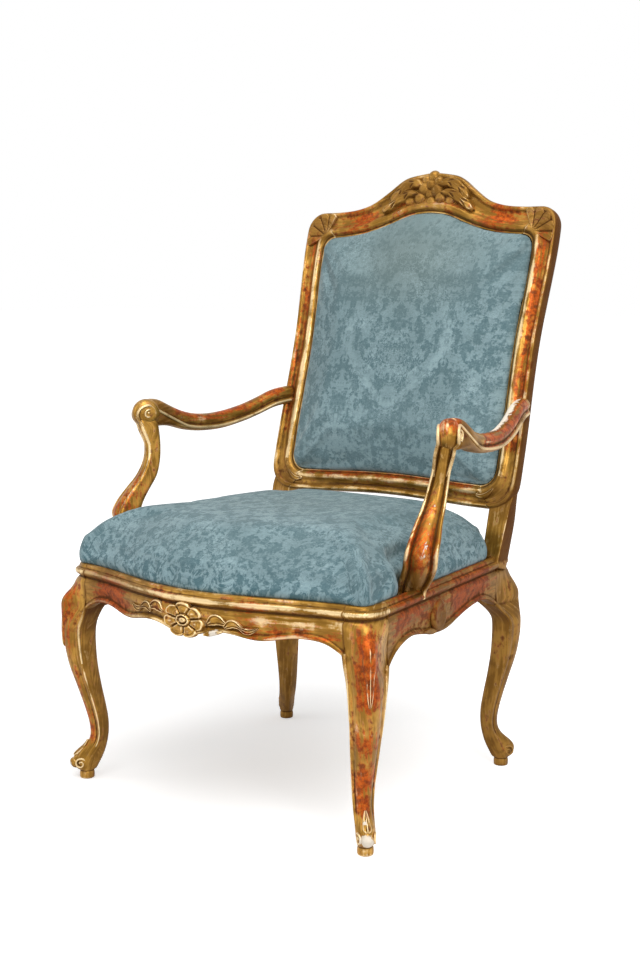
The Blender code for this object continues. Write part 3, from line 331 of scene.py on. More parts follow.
def closed(piece):
    """Closes a carved grid, makes sure that it is not inside out, and rounds it off."""
    close_up(piece)
    if sum(face.center.dot(face.normal) * face.area for face in piece.data.polygons) < 0:
        edit(piece)
        bpy.ops.mesh.flip_normals()
        leave()
    round_off(piece)
    return piece


list_tools(close_up, roll_bar, closed)

# %% Drawing a bead


def draw_bead(name, spots, radius, taper=(1.0, 1.0)):
    """Round bead along a drawn line, thinner or fuller towards its ends."""
    bpy.ops.object.select_all(action="DESELECT")
    bpy.ops.curve.primitive_nurbs_path_add()
    piece = bpy.context.object
    piece.name = name
    line = piece.data.splines[0]
    line.points.add(len(spots) - len(line.points))
    for i, (point, spot) in enumerate(zip(line.points, spots)):
        point.co = (spot[0], spot[1] + FEET_LINE, spot[2], 1.0)
        share = i / (len(spots) - 1)
        point.radius = taper[0] + (taper[1] - taper[0]) * share
    line.use_endpoint_u = True
    line.order_u = 4
    piece.data.dimensions = "3D"
    piece.data.resolution_u = 4
    piece.data.bevel_depth = radius
    piece.data.bevel_resolution = 3
    piece.data.use_fill_caps = True
    bpy.ops.object.convert(target="MESH")
    return bpy.context.object


list_tools(draw_bead)

# %% Joining, mirroring and smoothing


def join(name, pieces):
    bpy.ops.object.select_all(action="DESELECT")
    for piece in pieces:
        piece.select_set(True)
    bpy.context.view_layer.objects.active = pieces[0]
    bpy.ops.object.join()
    piece = bpy.context.object
    piece.name = piece.data.name = name
    return piece


def mirror_copy(piece, name):
    """The same piece for the other side of the chair, with its own mesh."""
    take(piece)
    bpy.ops.object.duplicate(linked=False)
    twin = bpy.context.object
    twin.name = twin.data.name = name
    edit(twin)
    bpy.ops.transform.resize(value=(-1, 1, 1), center_override=(0, 0, 0))
    bpy.ops.mesh.flip_normals()
    leave()
    return twin


def smooth_faces(piece, angle=50):
    take(piece)
    bpy.ops.object.shade_smooth_by_angle(angle=math.radians(angle))


list_tools(join, mirror_copy, smooth_faces)

# %% [markdown]
# ## Node sums
#
# A finish is a sum of noises, masks and colours. Wiring it by hand takes dozens of nodes, so one small class stands
# for a socket and lets masks be added and multiplied as numbers are. Every other node comes from its one method.

# %% The class that stands for a socket


class Wire:
    """A socket of one material, which can be used in sums as a number is."""

    def __init__(self, tree, socket=None):
        self.tree = tree
        self.socket = socket

    def node(self, kind, settings, sockets, out=0):
        """Adds a node by its type, its settings, and the values or links of its sockets."""
        made = self.tree.nodes.new(kind)
        for key, value in settings.items():
            setattr(made, key, value)
        for key, value in sockets.items():
            if isinstance(value, Wire):
                self.tree.links.new(value.socket, made.inputs[key])
            else:
                made.inputs[key].default_value = value
        return Wire(self.tree, made.outputs[out])

    def sum(self, operation, a, b):
        return self.node("ShaderNodeMath", {"operation": operation}, {0: a, 1: b})

    def __add__(self, other):
        return self.sum("ADD", self, other)

    def __radd__(self, other):
        return self.sum("ADD", other, self)

    def __sub__(self, other):
        return self.sum("SUBTRACT", self, other)

    def __rsub__(self, other):
        return self.sum("SUBTRACT", other, self)

    def __mul__(self, other):
        return self.sum("MULTIPLY", self, other)

    def __rmul__(self, other):
        return self.sum("MULTIPLY", other, self)

    def __abs__(self):
        return self.sum("ABSOLUTE", self, 0.0)


list_tools(Wire)

# %% Masks, noises and painted values that every finish uses


def mask(value, low, high):
    """Nought below low and one above high, eased between."""
    return value.node(
        "ShaderNodeMapRange", {"interpolation_type": "SMOOTHSTEP"}, {"Value": value, "From Min": low, "From Max": high}
    )


def blend(share, first, second):
    """Mixes two colours."""
    return share.node("ShaderNodeMix", {"data_type": "RGBA"}, {0: share, 6: first, 7: second}, out=2)


def noise(at, scale, detail=3.0, roughness=0.55, distortion=0.0):
    sockets = {"Vector": at, "Scale": scale, "Detail": detail, "Roughness": roughness, "Distortion": distortion}
    return at.node("ShaderNodeTexNoise", {}, sockets)


def stretch(at, x, y, z):
    return at.node("ShaderNodeVectorMath", {"operation": "MULTIPLY"}, {0: at, 1: (x, y, z)})


def painted(start, name, out="Fac"):
    """Value that was painted on the points of a piece."""
    return start.node("ShaderNodeAttribute", {"attribute_name": name}, {}, out=out)


def places_of(start, kind):
    """Places on a piece, as it stands or on its flat map."""
    return start.node("ShaderNodeTexCoord", {}, {}, out=kind)


def along_axis(at, axis):
    return at.node("ShaderNodeSeparateXYZ", {}, {"Vector": at}, out=axis)


list_tools(mask, blend, noise, stretch, painted, places_of, along_axis)

# %% Colours, and the shader of a new finish


def tint(red, green, blue):
    """Colour as it is seen, 0 to 255, for a colour socket."""
    parts = [c / 255 for c in (red, green, blue)]
    return (*[c / 12.92 if c <= 0.04045 else ((c + 0.055) / 1.055) ** 2.4 for c in parts], 1.0)


def new_finish(name):
    made = bpy.data.materials.new(name)
    made.use_nodes = True
    shader = made.node_tree.nodes["Principled BSDF"]
    return made, Wire(made.node_tree), shader


def feed(shader, name, value):
    """Links a wire to a socket of the shader, or sets a number there."""
    if isinstance(value, Wire):
        value.tree.links.new(value.socket, shader.inputs[name])
    else:
        shader.inputs[name].default_value = value


def raise_by(height, distance, strength=1.0):
    """Bump from a height."""
    return height.node(
        "ShaderNodeBump", {}, {"Height": height, "Distance": distance, "Strength": strength}, out="Normal"
    )


list_tools(tint, new_finish, feed, raise_by)

# %% [markdown]
# ## Gilding
#
# On the real chair the wood is coated with white gesso, then orange-red clay, then gold leaf. Two and a half
# centuries have rubbed the leaf down to the clay on the broad faces, chipped edges to the white, and left brown dirt
# in the hollows. A relief value is worked out on the points of each carved piece: high on its ridges, low in its
# hollows. The finish mixes its layers by that relief, by noise, and by places that are painted as rubbed or chipped.
# Faces that look down or away from the light are painted darker as shade, and some ridges and rolls are painted
# paler as highlights.

# %% Relief of a carved piece, and places rubbed or chipped


def paint_points(piece, name, values):
    layer = piece.data.attributes.get(name) or piece.data.attributes.new(name, "FLOAT", "POINT")
    layer.data.foreach_set("value", np.asarray(values, dtype=np.float32))


def point_table(piece, what="co"):
    table = np.empty(len(piece.data.vertices) * 3)
    piece.data.vertices.foreach_get(what, table)
    return table.reshape(-1, 3)


RELIEF_SCALE = 0.004


def paint_relief(piece, pale):
    """Ridges and hollows, from how the points round each point lie against its normal."""
    places, normals = point_table(piece), point_table(piece, "normal")
    ends = np.empty(len(piece.data.edges) * 2, dtype=np.int64)
    piece.data.edges.foreach_get("vertices", ends)
    a, b = ends.reshape(-1, 2).T
    gap = places[b] - places[a]
    square = (gap * gap).sum(axis=1) + 1e-10
    at_a = -2 * (normals[a] * gap).sum(axis=1) / square
    at_b = 2 * (normals[b] * gap).sum(axis=1) / square
    count = len(places)
    share = np.bincount(a, minlength=count) + np.bincount(b, minlength=count) + 1e-9

    def gather(first, second):
        return np.bincount(a, first, count) + np.bincount(b, second, count)

    bend = np.clip(gather(at_a, at_b) / share * RELIEF_SCALE, -1.5, 1.5)
    for _ in range(2):
        bend = 0.5 * bend + 0.5 * gather(bend[b], bend[a]) / share
    paint_points(piece, "relief", np.where(bend > 0, bend * pale, bend))


def paint_places(piece, name, places):
    """Soft spots round places given as x, y from the front feet, z, reach and strength."""
    table = point_table(piece)
    total = np.zeros(len(table))
    for x, y, z, reach, strength in places:
        away = ((table - np.array((x, y + FEET_LINE, z))) ** 2).sum(axis=1)
        total += strength * np.exp(-away / reach**2)
    paint_points(piece, name, total)


list_tools(paint_points, point_table, paint_relief, paint_places)

# %% The gilt finish


def gilt_finish():
    made, start, shader = new_finish("worn gilding")
    spot = places_of(start, "Object")
    flow = places_of(start, "UV")
    relief, rubbed, soiled = painted(start, "relief"), painted(start, "rubbed"), painted(start, "soiled")
    chipped, bare = painted(start, "chipped"), painted(start, "bare")
    streak = noise(stretch(flow, 16.0, 150.0, 1.0), 1.0, 4.0, 0.6)
    patch, mottle = noise(spot, 24.0, 3.0), noise(spot, 85.0, 4.0, 0.6)
    fine = noise(spot, 230.0, 4.0, 0.65)
    leaf = blend(mask(patch * 0.5 + streak * 0.5, 0.42, 0.58), tint(134, 96, 36), tint(186, 140, 64))
    leaf = blend(mask(mottle * 0.45 + streak * 0.55, 0.53, 0.65) * 0.85, leaf, tint(234, 200, 132))
    wear = streak * 0.50 + patch * 0.15 + mottle * 0.35 + rubbed * 0.17
    clay = mask(wear, 0.530, 0.630)
    clay_tone = blend(mask(fine * 0.4 + mottle * 0.6, 0.40, 0.60), tint(200, 86, 20), tint(126, 44, 12))
    colour = blend(clay * 0.90, leaf, clay_tone)
    dirt = mask(mottle * 0.6 + patch * 0.4, 0.54, 0.66)
    colour = blend(dirt * 0.50, colour, tint(88, 56, 18))
    hollow = mask((0 - relief) + (mottle - 0.5) * 0.7, 0.06, 0.46)
    colour = blend(hollow * 0.85, colour, tint(66, 38, 13))
    # Darkening painted per point: painted shade on faces that look down or away from the light, and dirt in the joints
    colour = blend(soiled * 0.90, colour, tint(84, 46, 14))
    # Pale cream on the ridges: worn gilding and a painted highlight, which the painted shade damps
    broken = (fine - 0.5) * 0.6 + (streak - 0.5) * 1.2 + (patch - 0.5) * 1.6
    ridge = mask(relief + broken, 0.34, 0.72) * (1 - mask(soiled, 0.05, 0.50))
    colour = blend(ridge * 0.72, colour, tint(246, 220, 170))
    # White chips down to the gesso, and on the supports a streak painted as a highlight
    chip_and_highlight = mask(chipped + (fine - 0.5) * 0.7 + (mottle - 0.5) * 0.8, 0.42, 0.58)
    colour = blend(chip_and_highlight * 0.92, colour, tint(236, 226, 210))
    grain = noise(stretch(flow, 6.0, 260.0, 1.0), 1.0, 4.0, 0.6)
    wood = blend(mask(grain, 0.3, 0.75), tint(150, 112, 70), tint(104, 72, 40))
    colour = blend(bare, colour, wood)
    feed(shader, "Base Color", colour)
    dull = clay * 0.08 + hollow * 0.25 + chip_and_highlight * 0.30 + bare * 0.30 + dirt * 0.12
    feed(shader, "Roughness", 0.30 + dull + soiled * 0.35)
    gold = (1 - clay * 0.35) * (1 - hollow * 0.7) * (1 - chip_and_highlight) * (1 - bare) * (1 - soiled * 0.8)
    feed(shader, "Metallic", gold * 0.66)
    feed(shader, "Normal", raise_by(fine * 0.4 + mottle * 0.6 + streak * 0.4, 0.0011, 0.5))
    feed(shader, "Specular IOR Level", 0.10)
    return made


GILDING = gilt_finish()
print("gilding has", len(GILDING.node_tree.nodes), "nodes")

# %% Gilding a piece and setting it in place of CAD nodes


def underside(table, normals):
    """Painted shade on faces that look down."""
    return 0.5 * np.clip(-normals[:, 2], 0, 1)


def gild(piece, rubbed=(), chipped=(), bare=None, shade_and_dirt_rule=underside, pale=1.0):
    """Finishes a carved piece: smooth faces, its relief and wear, painted shade and highlights, and the gilding."""
    smooth_faces(piece)
    paint_relief(piece, pale)
    paint_places(piece, "rubbed", rubbed)
    paint_places(piece, "chipped", chipped)
    table = point_table(piece)
    paint_points(piece, "soiled", np.clip(shade_and_dirt_rule(table, point_table(piece, "normal")), 0, 1))
    paint_points(piece, "bare", bare(table) if bare else np.zeros(len(table)))
    piece.data.materials.clear()
    piece.data.materials.append(GILDING)


def brighten(piece, amount):
    """Paints a highlight along a line of points: lifts their value towards the pale ridge colour, by a share for each
    point.
    """
    layer = piece.data.attributes["relief"]
    relief = np.empty(len(piece.data.vertices), dtype=np.float32)
    layer.data.foreach_get("value", relief)
    paint_points(piece, "relief", relief + amount(point_table(piece)))


def stand_for(piece, slot, *nodes):
    """Rides on the chair and stands for CAD nodes. The slot is not used."""
    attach(piece, "root")
    if nodes:
        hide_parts(*nodes)
    print(piece.name, len(piece.data.polygons), "faces")


list_tools(underside, gild, brighten, stand_for)

# %% [markdown]
# ## Seat rails
#
# The rails are serpentine boards about 34 mm thick. A rounded bead runs along the top, with a groove under it, a
# swelling face, and a small bead along the shaped lower edge. A moulding plane and a scraper make that section on
# the real rail. Here the section is drawn once and laid along the plan of the seat.

# %% Section of a rail

FACE_TOP, LOWER_BEAD, INNER_LOW = 0.331, 0.0105, 0.2875


def rail_section(low, plain=0.0):
    """Distance in from the edge of the bead, and height, from the top inside round to the bottom inside."""
    middle = (FACE_TOP + low + LOWER_BEAD) / 2
    under = max(low, INNER_LOW)
    return (
        (0.0340, 0.3500), (0.0195, 0.3500), (0.0190, 0.3620), (0.0170, 0.3672), (0.0130, 0.3690), (0.0088, 0.3678),
        (0.0064, 0.3644), (0.0064, 0.3614), (0.0030, 0.3603), (0.0006, 0.3585), (0.0000, 0.3560), (0.0006, 0.3532),
        (0.0026, 0.3508), (0.0050, 0.3494), (0.0072, 0.3480), (0.0070, 0.3460), (0.0044, 0.3438), (0.0026, 0.3405),
        (0.0020, 0.3365), (0.0030, FACE_TOP), (0.0054 - 0.0010 * plain, middle),
        (0.0066 - 0.0016 * plain, low + LOWER_BEAD),
        (0.0054 - 0.0008 * plain, low + 0.0082), (0.0028, low + 0.0066), (0.0014, low + 0.0040), (0.0020, low + 0.0012),
        (0.0056, low), (0.0180, under), (0.0340, under + 0.0010),
    )


def with_ends(places, close=0.0006):
    """Extra sections close to both ends, which keep the ends of a rounded bar square."""
    step = close if places[-1] > places[0] else -close
    return [places[0], places[0] + step, *places[1:-1], places[-1] - step, places[-1]]


def from_feet(table):
    """Distances of a table of points behind the front feet."""
    return table[:, 1] - FEET_LINE


def inside_of_rails(table):
    """Bare wood on the inner faces of the seat frame."""
    x, y = np.abs(table[:, 0]), from_feet(table)
    return np.clip((side_x(y) - x - 0.028) / 0.004, 0, 1) * (y > 0.03) * (table[:, 2] < 0.349)


def near(place, joint):
    """One at a joint, where the hollow of a rail runs out into the plain face of the block."""
    return 1 - ramp(abs(place - joint), 0.004, 0.036)


list_tools(rail_section, with_ends, inside_of_rails, near)

# %% Front and side rails
front_rail = roll_bar("front_rail", [
    [(x, front_y(x) + inset, z) for inset, z in rail_section(front_apron(x), near(abs(x), FRONT_JOINT))]
    for x in with_ends(spread(-FRONT_JOINT, FRONT_JOINT, 69))
])
side_rail = roll_bar("side_rail_left", [
    [(side_x(y) - inset, y, z) for inset, z in rail_section(side_apron(y), near(y, SIDE_JOINT) + near(y, REAR_JOINT))]
    for y in with_ends(spread(SIDE_JOINT, REAR_JOINT, 55))
])
print("rails", len(front_rail.data.polygons), len(side_rail.data.polygons))

# %% Rear rail, which is plain
REAR_RAIL_DEPTH, REAR_RAIL_MIDDLE = 0.061, RAIL_TOP - 0.0275 + 0.003
bpy.ops.object.select_all(action="DESELECT")
bpy.ops.mesh.primitive_cube_add(
    size=1, location=(0, SEAT_DEPTH - RAIL_THICKNESS / 2 + FEET_LINE, REAR_RAIL_MIDDLE),
    scale=(2 * REAR_RAIL_JOINT, RAIL_THICKNESS, REAR_RAIL_DEPTH),
)
rear_rail = bpy.context.object
rear_rail.name = rear_rail.data.name = "rear_rail"
bpy.ops.object.transform_apply(location=True, rotation=True, scale=True)
edit(rear_rail)
bpy.ops.mesh.subdivide(number_cuts=3)
leave()
finish_with(rear_rail, "BEVEL", width=0.004, segments=4, limit_method="ANGLE")
print("rear rail", len(rear_rail.data.polygons))

# %% [markdown]
# ## Legs
#
# Cabriole legs are sawn from a square post along an S-curve in two directions, then shaped with a rasp. Their
# section is a rounded square with an outward ridge and a thin bead along each side edge, and the knee runs up into
# the corner block of the seat frame, where the moulding of the rails goes round the corner. So the sections are laid
# one above the other, from the foot block over the scroll toe and the ankle to the top of the block.

# %% Points of a ring

CORNERS = (-135, -45, 45, 135)
NEAR_CORNER = (0, 3, 7, 12, 19, 29)


def ring_angles():
    turns = {45 + corner for corner in CORNERS}
    for corner in CORNERS:
        turns |= {corner + turn for turn in NEAR_CORNER} | {corner - turn for turn in NEAR_CORNER}
    return [math.radians(turn) for turn in sorted(turns)]


RING = ring_angles()
print("a ring has", len(RING), "points")

# %% A square with rounded corners


def rounded_square(exponents):
    """Points of a square whose four corners are rounded by their own exponents."""
    points = []
    for angle in RING:
        c, s = math.cos(angle), math.sin(angle)
        corner = (1 if s <= 0 else 2) if c > 0 else (0 if s <= 0 else 3)
        n = exponents[corner]
        reach = (abs(c) ** n + abs(s) ** n) ** (-1 / n)
        points.append((c * reach, s * reach))
    return points


def corner_reach(exponent):
    return math.sqrt(2) * 2 ** (-1 / exponent)


def turn_between(a, b):
    return abs((a - b + math.pi) % (2 * math.pi) - math.pi)


list_tools(rounded_square, corner_reach, turn_between)

# %% Section of a leg


def leg_ring(foot, outward, height, reach_out, reach_in, half_width, exponents, beads):
    """Section of a leg that leans along outward, with a bead along both side edges."""
    along = Vector(outward).normalized()
    across = Vector((-along.y, along.x))
    heading = math.atan2(along.y, along.x)
    edge, outside, inside = exponents
    order = [0, 0, 0, 0]
    for k, corner in enumerate(CORNERS):
        turn = turn_between(math.radians(corner), heading)
        order[k] = outside if turn < 0.1 else inside if turn > 3.0 else edge
    scale = (reach_out + reach_in) / (corner_reach(outside) + corner_reach(inside))
    middle = reach_out - scale * corner_reach(outside)
    width = half_width / corner_reach(edge)
    points = []
    for angle, (a, b) in zip(RING, rounded_square(order)):
        lift = 0.0
        for side in (-math.pi / 2, math.pi / 2):
            turn = turn_between(angle, heading + side)
            front = turn_between(angle, heading) < math.pi / 2 + 0.01
            lift += 0.0014 * soft_spot(turn, 0.11)
            if front:
                lift -= 0.0022 * soft_spot(turn - 0.30, 0.13)
        grow = 1 + beads * lift / math.hypot(a * scale, b * width)
        u = middle + grow * scale * (a * along.x + b * along.y)
        v = grow * width * (a * across.x + b * across.y)
        spot = Vector(foot) + along * u + across * v
        points.append((spot.x, spot.y, height))
    return points


list_tools(leg_ring)

# %% Section of a corner block


def block_ring(corners, height, outward, swell, outer, roundness):
    """Section of the block that takes the rails, with one rounded outer corner, swelling out into the knee."""
    away = Vector(outward).normalized()
    heading = math.atan2(away.y, away.x)
    before, tip, after, inner = (corners[(outer + k) % 4] for k in (-1, 0, 1, 2))
    points = []
    for angle in RING:
        turn = (math.degrees(angle) - CORNERS[outer] + 180) % 360 - 180
        if abs(turn) <= 90:
            c, s = math.cos(math.radians((90 - turn) / 2)), math.sin(math.radians((90 - turn) / 2))
            reach = (c**roundness + s**roundness) ** (-1 / roundness)
            u, v = c * reach, s * reach
        else:
            u, v = max(0.0, 2 - turn / 90) * (turn > 0), max(0.0, 2 + turn / 90) * (turn < 0)
        spot = inner.lerp(after, u).lerp(before.lerp(tip, u), v)
        spot = spot + away * swell * max(0.0, math.cos(angle - heading)) ** 3
        points.append((spot.x, spot.y, height))
    return points


def mix_rings(first, second, share):
    return [tuple(Vector(p).lerp(Vector(q), share)) for p, q in zip(first, second)]


list_tools(block_ring, mix_rings)

# %% All sections of a leg

FLARE = 0.036
# Height and radius of the round block under the toe
FOOT_BLOCK = ((0.0, 0.0112), (0.0006, 0.0119), (0.004, 0.0124), (0.0105, 0.0124), (0.0125, 0.0114), (0.0135, 0.0112))


def leg_sections(foot, outward, ease, corners, outer, roundness, low_at):
    """Sections of a leg from the floor to the top of its block, which grows out to the rails in brackets."""
    exponents = (4.2, 2.2, 3.0)
    round_foot = (2.0, 2.0, 2.0)
    sections = [leg_ring(foot, outward, height, r, r, r, round_foot, 0.0) for height, r in FOOT_BLOCK]
    ridge = block_ring(corners(0.0055), 0.0, outward, 0.0, outer, roundness)[RING.index(math.radians(CORNERS[outer]))]
    knee = LEG_STATIONS[-1][1] - ease - (Vector(ridge[:2]) - Vector(foot)).dot(Vector(outward).normalized())

    def leg_at(height):
        share = height / LEG_HEIGHT
        out, reach_in, width = (eased(LEG_STATIONS, share, k) for k in (1, 2, 3))
        beads = ramp(share, 0.12, 0.24)
        return leg_ring(foot, outward, height, out - ease * min(share, 1.0), reach_in, width, exponents, beads)

    def block_at(inset, height):
        swell = knee * (1 - ramp(height, 0.298, 0.346))
        return block_ring(corners(inset), height, outward, swell, outer, roundness)

    turns = [math.degrees(angle) for angle in RING]
    start = min(low_at(turn) for turn in turns) - FLARE
    for height in spread(0.0150, start, 42):
        sections.append(leg_at(height))
    for height in spread(start, FACE_TOP, 30)[1:]:
        leg, block = leg_at(height), block_at(0.0050 - 0.0020 * ramp(height, 0.305, FACE_TOP), height)
        ring = []
        for k, turn in enumerate(turns):
            share = min(max((height - low_at(turn) + FLARE) / FLARE, 0.0), 1.0)
            ring.append(tuple(Vector(leg[k]).lerp(Vector(block[k]), share**2.2)))
        sections.append(ring)
    for inset, z in reversed(rail_section(0.300)):
        if z > FACE_TOP + 0.001 and inset < 0.0176:
            sections.append(block_at(inset, z))
    return sections


list_tools(leg_sections)

# %% Bead along the edge of a leg

EDGE_BEAD = 0.0037


def bracket_bead(sections, foot, turn, low):
    """Bead along one side edge of a leg, carried up the bracket to the bead of the rail."""
    k = RING.index(math.radians(turn))
    line = []
    for ring in sections:
        x, y, z = ring[k]
        if low - FLARE - 0.06 < z < low + 0.002:
            inward = (Vector(foot) - Vector((x, y))).normalized() * 0.0014
            line.append((x + inward.x, y + inward.y, z + 0.0038 * ramp(z, low - 0.012, low)))
    return draw_bead("edge", line, EDGE_BEAD, (0.45, 1.0))


list_tools(bracket_bead)

# %% Front legs

OVERLAP = 0.003


def front_corners(inset):
    joint_x, joint_y = FRONT_JOINT - OVERLAP, SIDE_JOINT + OVERLAP
    return [
        Vector((joint_x, front_y(joint_x) + inset)),
        Vector((side_x(FRONT_EDGE) - inset, FRONT_EDGE + inset)),
        Vector((side_x(joint_y) - inset, joint_y)),
        Vector((joint_x, joint_y)),
    ]


front_foot = (FOOT_FRONT_HALF, 0.0)


def front_low(turn):
    """Lower edge of the rail that a side of the front block runs into."""
    at_front, at_side, inside = front_apron(FRONT_JOINT), side_apron(SIDE_JOINT), 0.302
    if turn < -135:
        turn += 360
    if turn <= 45:
        return at_front + (at_side - at_front) * ramp(turn, -60, 40)
    return at_side + (inside - at_side) * ramp(turn, 48, 100) + (at_front - inside) * ramp(turn, 170, 224)


front_sections = leg_sections(front_foot, (1, -1), 0.0, front_corners, 1, 2.35, front_low)
front_leg = roll_bar("front_leg_left", front_sections)
front_edges = [
    bracket_bead(front_sections, front_foot, -135, front_apron(FRONT_JOINT)),
    bracket_bead(front_sections, front_foot, 45, side_apron(SIDE_JOINT)),
]
print("front leg", len(front_leg.data.polygons))

# %% Rear legs


def rear_corners(inset):
    joint = REAR_JOINT - OVERLAP
    return [
        Vector((REAR_RAIL_JOINT, joint)),
        Vector((side_x(joint) - inset, joint)),
        Vector((side_x(SEAT_DEPTH) - inset, SEAT_DEPTH)),
        Vector((REAR_RAIL_JOINT, SEAT_DEPTH)),
    ]


rear_foot = (FOOT_REAR_HALF, FOOT_REAR_PLACE)


def rear_low(turn):
    """Lower edge of the side rail in front, and of the higher rear rail behind."""
    return side_apron(REAR_JOINT) + 0.012 * ramp(abs((turn + 45 + 180) % 360 - 180), 60, 150)


rear_sections = leg_sections(rear_foot, (1, 1), REAR_KNEE_EASE, rear_corners, 2, 5.5, rear_low)
rear_leg = roll_bar("rear_leg_left", rear_sections)
rear_edge = bracket_bead(rear_sections, rear_foot, -45, side_apron(REAR_JOINT))
print("rear leg", len(rear_leg.data.polygons))

# %% The plain post that carries the frame of the back


def post_section(z, outer, thickness):
    """Section of the post, which sinks behind the moulded frame above the lower rail."""
    inner, face = POST_INNER_HALF, -0.0003 - 0.0095 * ramp(z, 0.448, 0.486)
    middle, deep, waist = (inner + outer) / 2, -thickness, (face - thickness) / 2
    outline = (
        (inner, face - 0.002), (inner + 0.002, face - 0.0004), (inner + 0.006, face), (middle, face),
        (outer - 0.006, face), (outer - 0.0025, face - 0.0002), (outer - 0.0006, face - 0.0012), (outer, face - 0.004),
        (outer, waist), (outer - 0.001, deep + 0.006), (outer - 0.006, deep + 0.001), (middle, deep),
        (inner + 0.004, deep), (inner, deep + 0.004), (inner, waist),
    )
    return [back_point(x, z, forward) for x, forward in outline]


POST_FOOT, POST_HEAD = 0.352, 0.520
POST_WIDTHS = ((0.352, 0.0335), (0.40, 0.037), (0.45, 0.041), (0.52, 0.0415))
POST_DEPTHS = ((0.352, 0.041), (0.42, 0.037), (0.47, 0.028), (0.52, 0.0250))
post = roll_bar("post_left", [
    post_section(z, POST_INNER_HALF + eased(POST_WIDTHS, z), eased(POST_DEPTHS, z))
    for z in with_ends(spread(POST_FOOT, POST_HEAD, 22))
])
print("post", len(post.data.polygons))

# %% [markdown]
# ## Frame of the back
#
# The back is a moulded frame round a flat panel: a thin bead at the opening, a broad round, a hollow and an outer
# bead. A carver works it with gouges along two pencil lines, the opening and the outer edge. Here the same two lines
# are drawn as pairs of points all the way round, and the section is laid across each pair. The beads keep their
# width, so the hollow between them widens where the crest rises.

# %% Pairs of points on the two outlines, from the lower rail up to the crest


def arc(centre, radius, turn):
    angle = math.radians(turn)
    return (centre[0] + radius * math.cos(angle), centre[1] + radius * math.sin(angle))


LOWER_INNER, LOWER_OUTER, UPPER_INNER, UPPER_OUTER = 0.028, 0.046, 0.022, 0.034
STILE_OUT = sight_x(SIGHT_TOP) + STILE_WIDTH


def lower_pairs():
    end_in, end_out = SIGHT_HALF - LOWER_INNER, SIGHT_HALF + STILE_WIDTH - LOWER_OUTER
    pairs = []
    for share in spread(0.0, 1.0, 15):
        inner = (end_in * share, lower_edge(end_in * share, SIGHT_BOTTOM))
        outer = (end_out * share, lower_edge(end_out * share, LOWER_RAIL_BOTTOM))
        pairs.append((inner, outer))
    return pairs


def stile_pairs():
    base_in = (SIGHT_HALF - LOWER_INNER, SIGHT_BOTTOM + LOWER_INNER)
    base_out = (SIGHT_HALF + STILE_WIDTH - LOWER_OUTER, LOWER_RAIL_BOTTOM + LOWER_OUTER)
    top_in = (sight_x(SIGHT_TOP) - UPPER_INNER, SIGHT_TOP - UPPER_INNER)
    top_out = (STILE_OUT - UPPER_OUTER, SHOULDER_TOP - UPPER_OUTER)
    pairs = [(arc(base_in, LOWER_INNER, turn), arc(base_out, LOWER_OUTER, turn)) for turn in spread(-90, 0, 11)]
    for share in spread(0.0, 1.0, 33)[1:-1]:
        z_in = base_in[1] + (top_in[1] - base_in[1]) * share
        z_out = base_out[1] + (top_out[1] - base_out[1]) * share
        pairs.append(((sight_x(z_in), z_in), (sight_x(z_in) + STILE_WIDTH, z_out)))
    pairs += [(arc(top_in, UPPER_INNER, turn), arc(top_out, UPPER_OUTER, turn)) for turn in spread(0, 90, 11)]
    return pairs


def crest_pairs():
    end_in, end_out = sight_x(SIGHT_TOP) - UPPER_INNER, STILE_OUT - UPPER_OUTER
    pairs = []
    for share in spread(1.0, 0.0, 25):
        pairs.append((
            (end_in * share, sight_top(end_in * share)),
            (end_out * share, crest_top(end_out * share)),
        ))
    return pairs


print("pairs", [len(pairs()) for pairs in (lower_pairs, stile_pairs, crest_pairs)])

# %% The moulding across a pair, and the bars of the frame


def frame_section(pair):
    """Section of the frame across one pair: from the rebate over the moulding to the back."""
    inner, outer = Vector(pair[0]), Vector(pair[1])
    width = (outer - inner).length
    away = (outer - inner) / width
    hollow = [0.0225 + (width - 0.0335) * share for share in (0.0, 0.3, 0.65, 1.0)]
    moulding = (
        (0.0, -0.0120), (0.0, -0.0050), (0.0002, -0.0034), (0.0010, -0.0028), (0.0022, -0.0026), (0.0036, -0.0024),
        (0.0048, -0.0016), (0.0060, 0.0002), (0.0076, 0.0020), (0.0098, 0.0034), (0.0122, 0.0041),
        (0.0146, 0.0039), (0.0172, 0.0029), (0.0198, 0.0009), (hollow[0], -0.0012), (hollow[1], -0.0026),
        (hollow[2], -0.0028), (hollow[3], -0.0018), (width - 0.0094, 0.0008), (width - 0.0074, 0.0026),
        (width - 0.0046, 0.0032), (width - 0.0020, 0.0022), (width - 0.0004, -0.0006), (width, -0.0040),
        (width, -0.0120), (width - 0.0010, -0.0185), (width - 0.0060, -0.0240), (width - 0.0100, -0.0258),
        (width / 2, -0.0258), (-0.0060, -0.0258), (-0.0118, -0.0250), (-0.0120, -0.0120),
    )
    return [back_point(*(inner + away * across), forward) for across, forward in moulding]


def bar_of_pairs(name, pairs):
    sections = [frame_section(pair) for pair in pairs]
    first, second = sections[0], sections[1]
    last, before = sections[-1], sections[-2]
    return roll_bar(name, [first, mix_rings(first, second, 0.06), *sections[1:-1], mix_rings(last, before, 0.06), last])


def other_side(pairs):
    return [((-a[0], a[1]), (-b[0], b[1])) for a, b in pairs]


lower_rail = bar_of_pairs("lower_rail", other_side(lower_pairs())[::-1] + lower_pairs()[1:])
stile = bar_of_pairs("stile_left", stile_pairs())
crest = bar_of_pairs("crest", crest_pairs() + other_side(crest_pairs())[::-1][1:])
print("frame of the back", [len(piece.data.polygons) for piece in (lower_rail, stile, crest)])

# %% [markdown]
# ## Arms and supports
#
# The arms sweep out from the posts and end in scrolls. Their section has a rounded top, a groove, and a fillet along
# the lower side that runs up over the scroll, round its front and on down the edge of the support. The supports lean
# forward in an S and have a rounded front between two beaded edges. The bodies are laid as bars, and the fillets are
# drawn on them as beads.

# %% Line and section of the arm

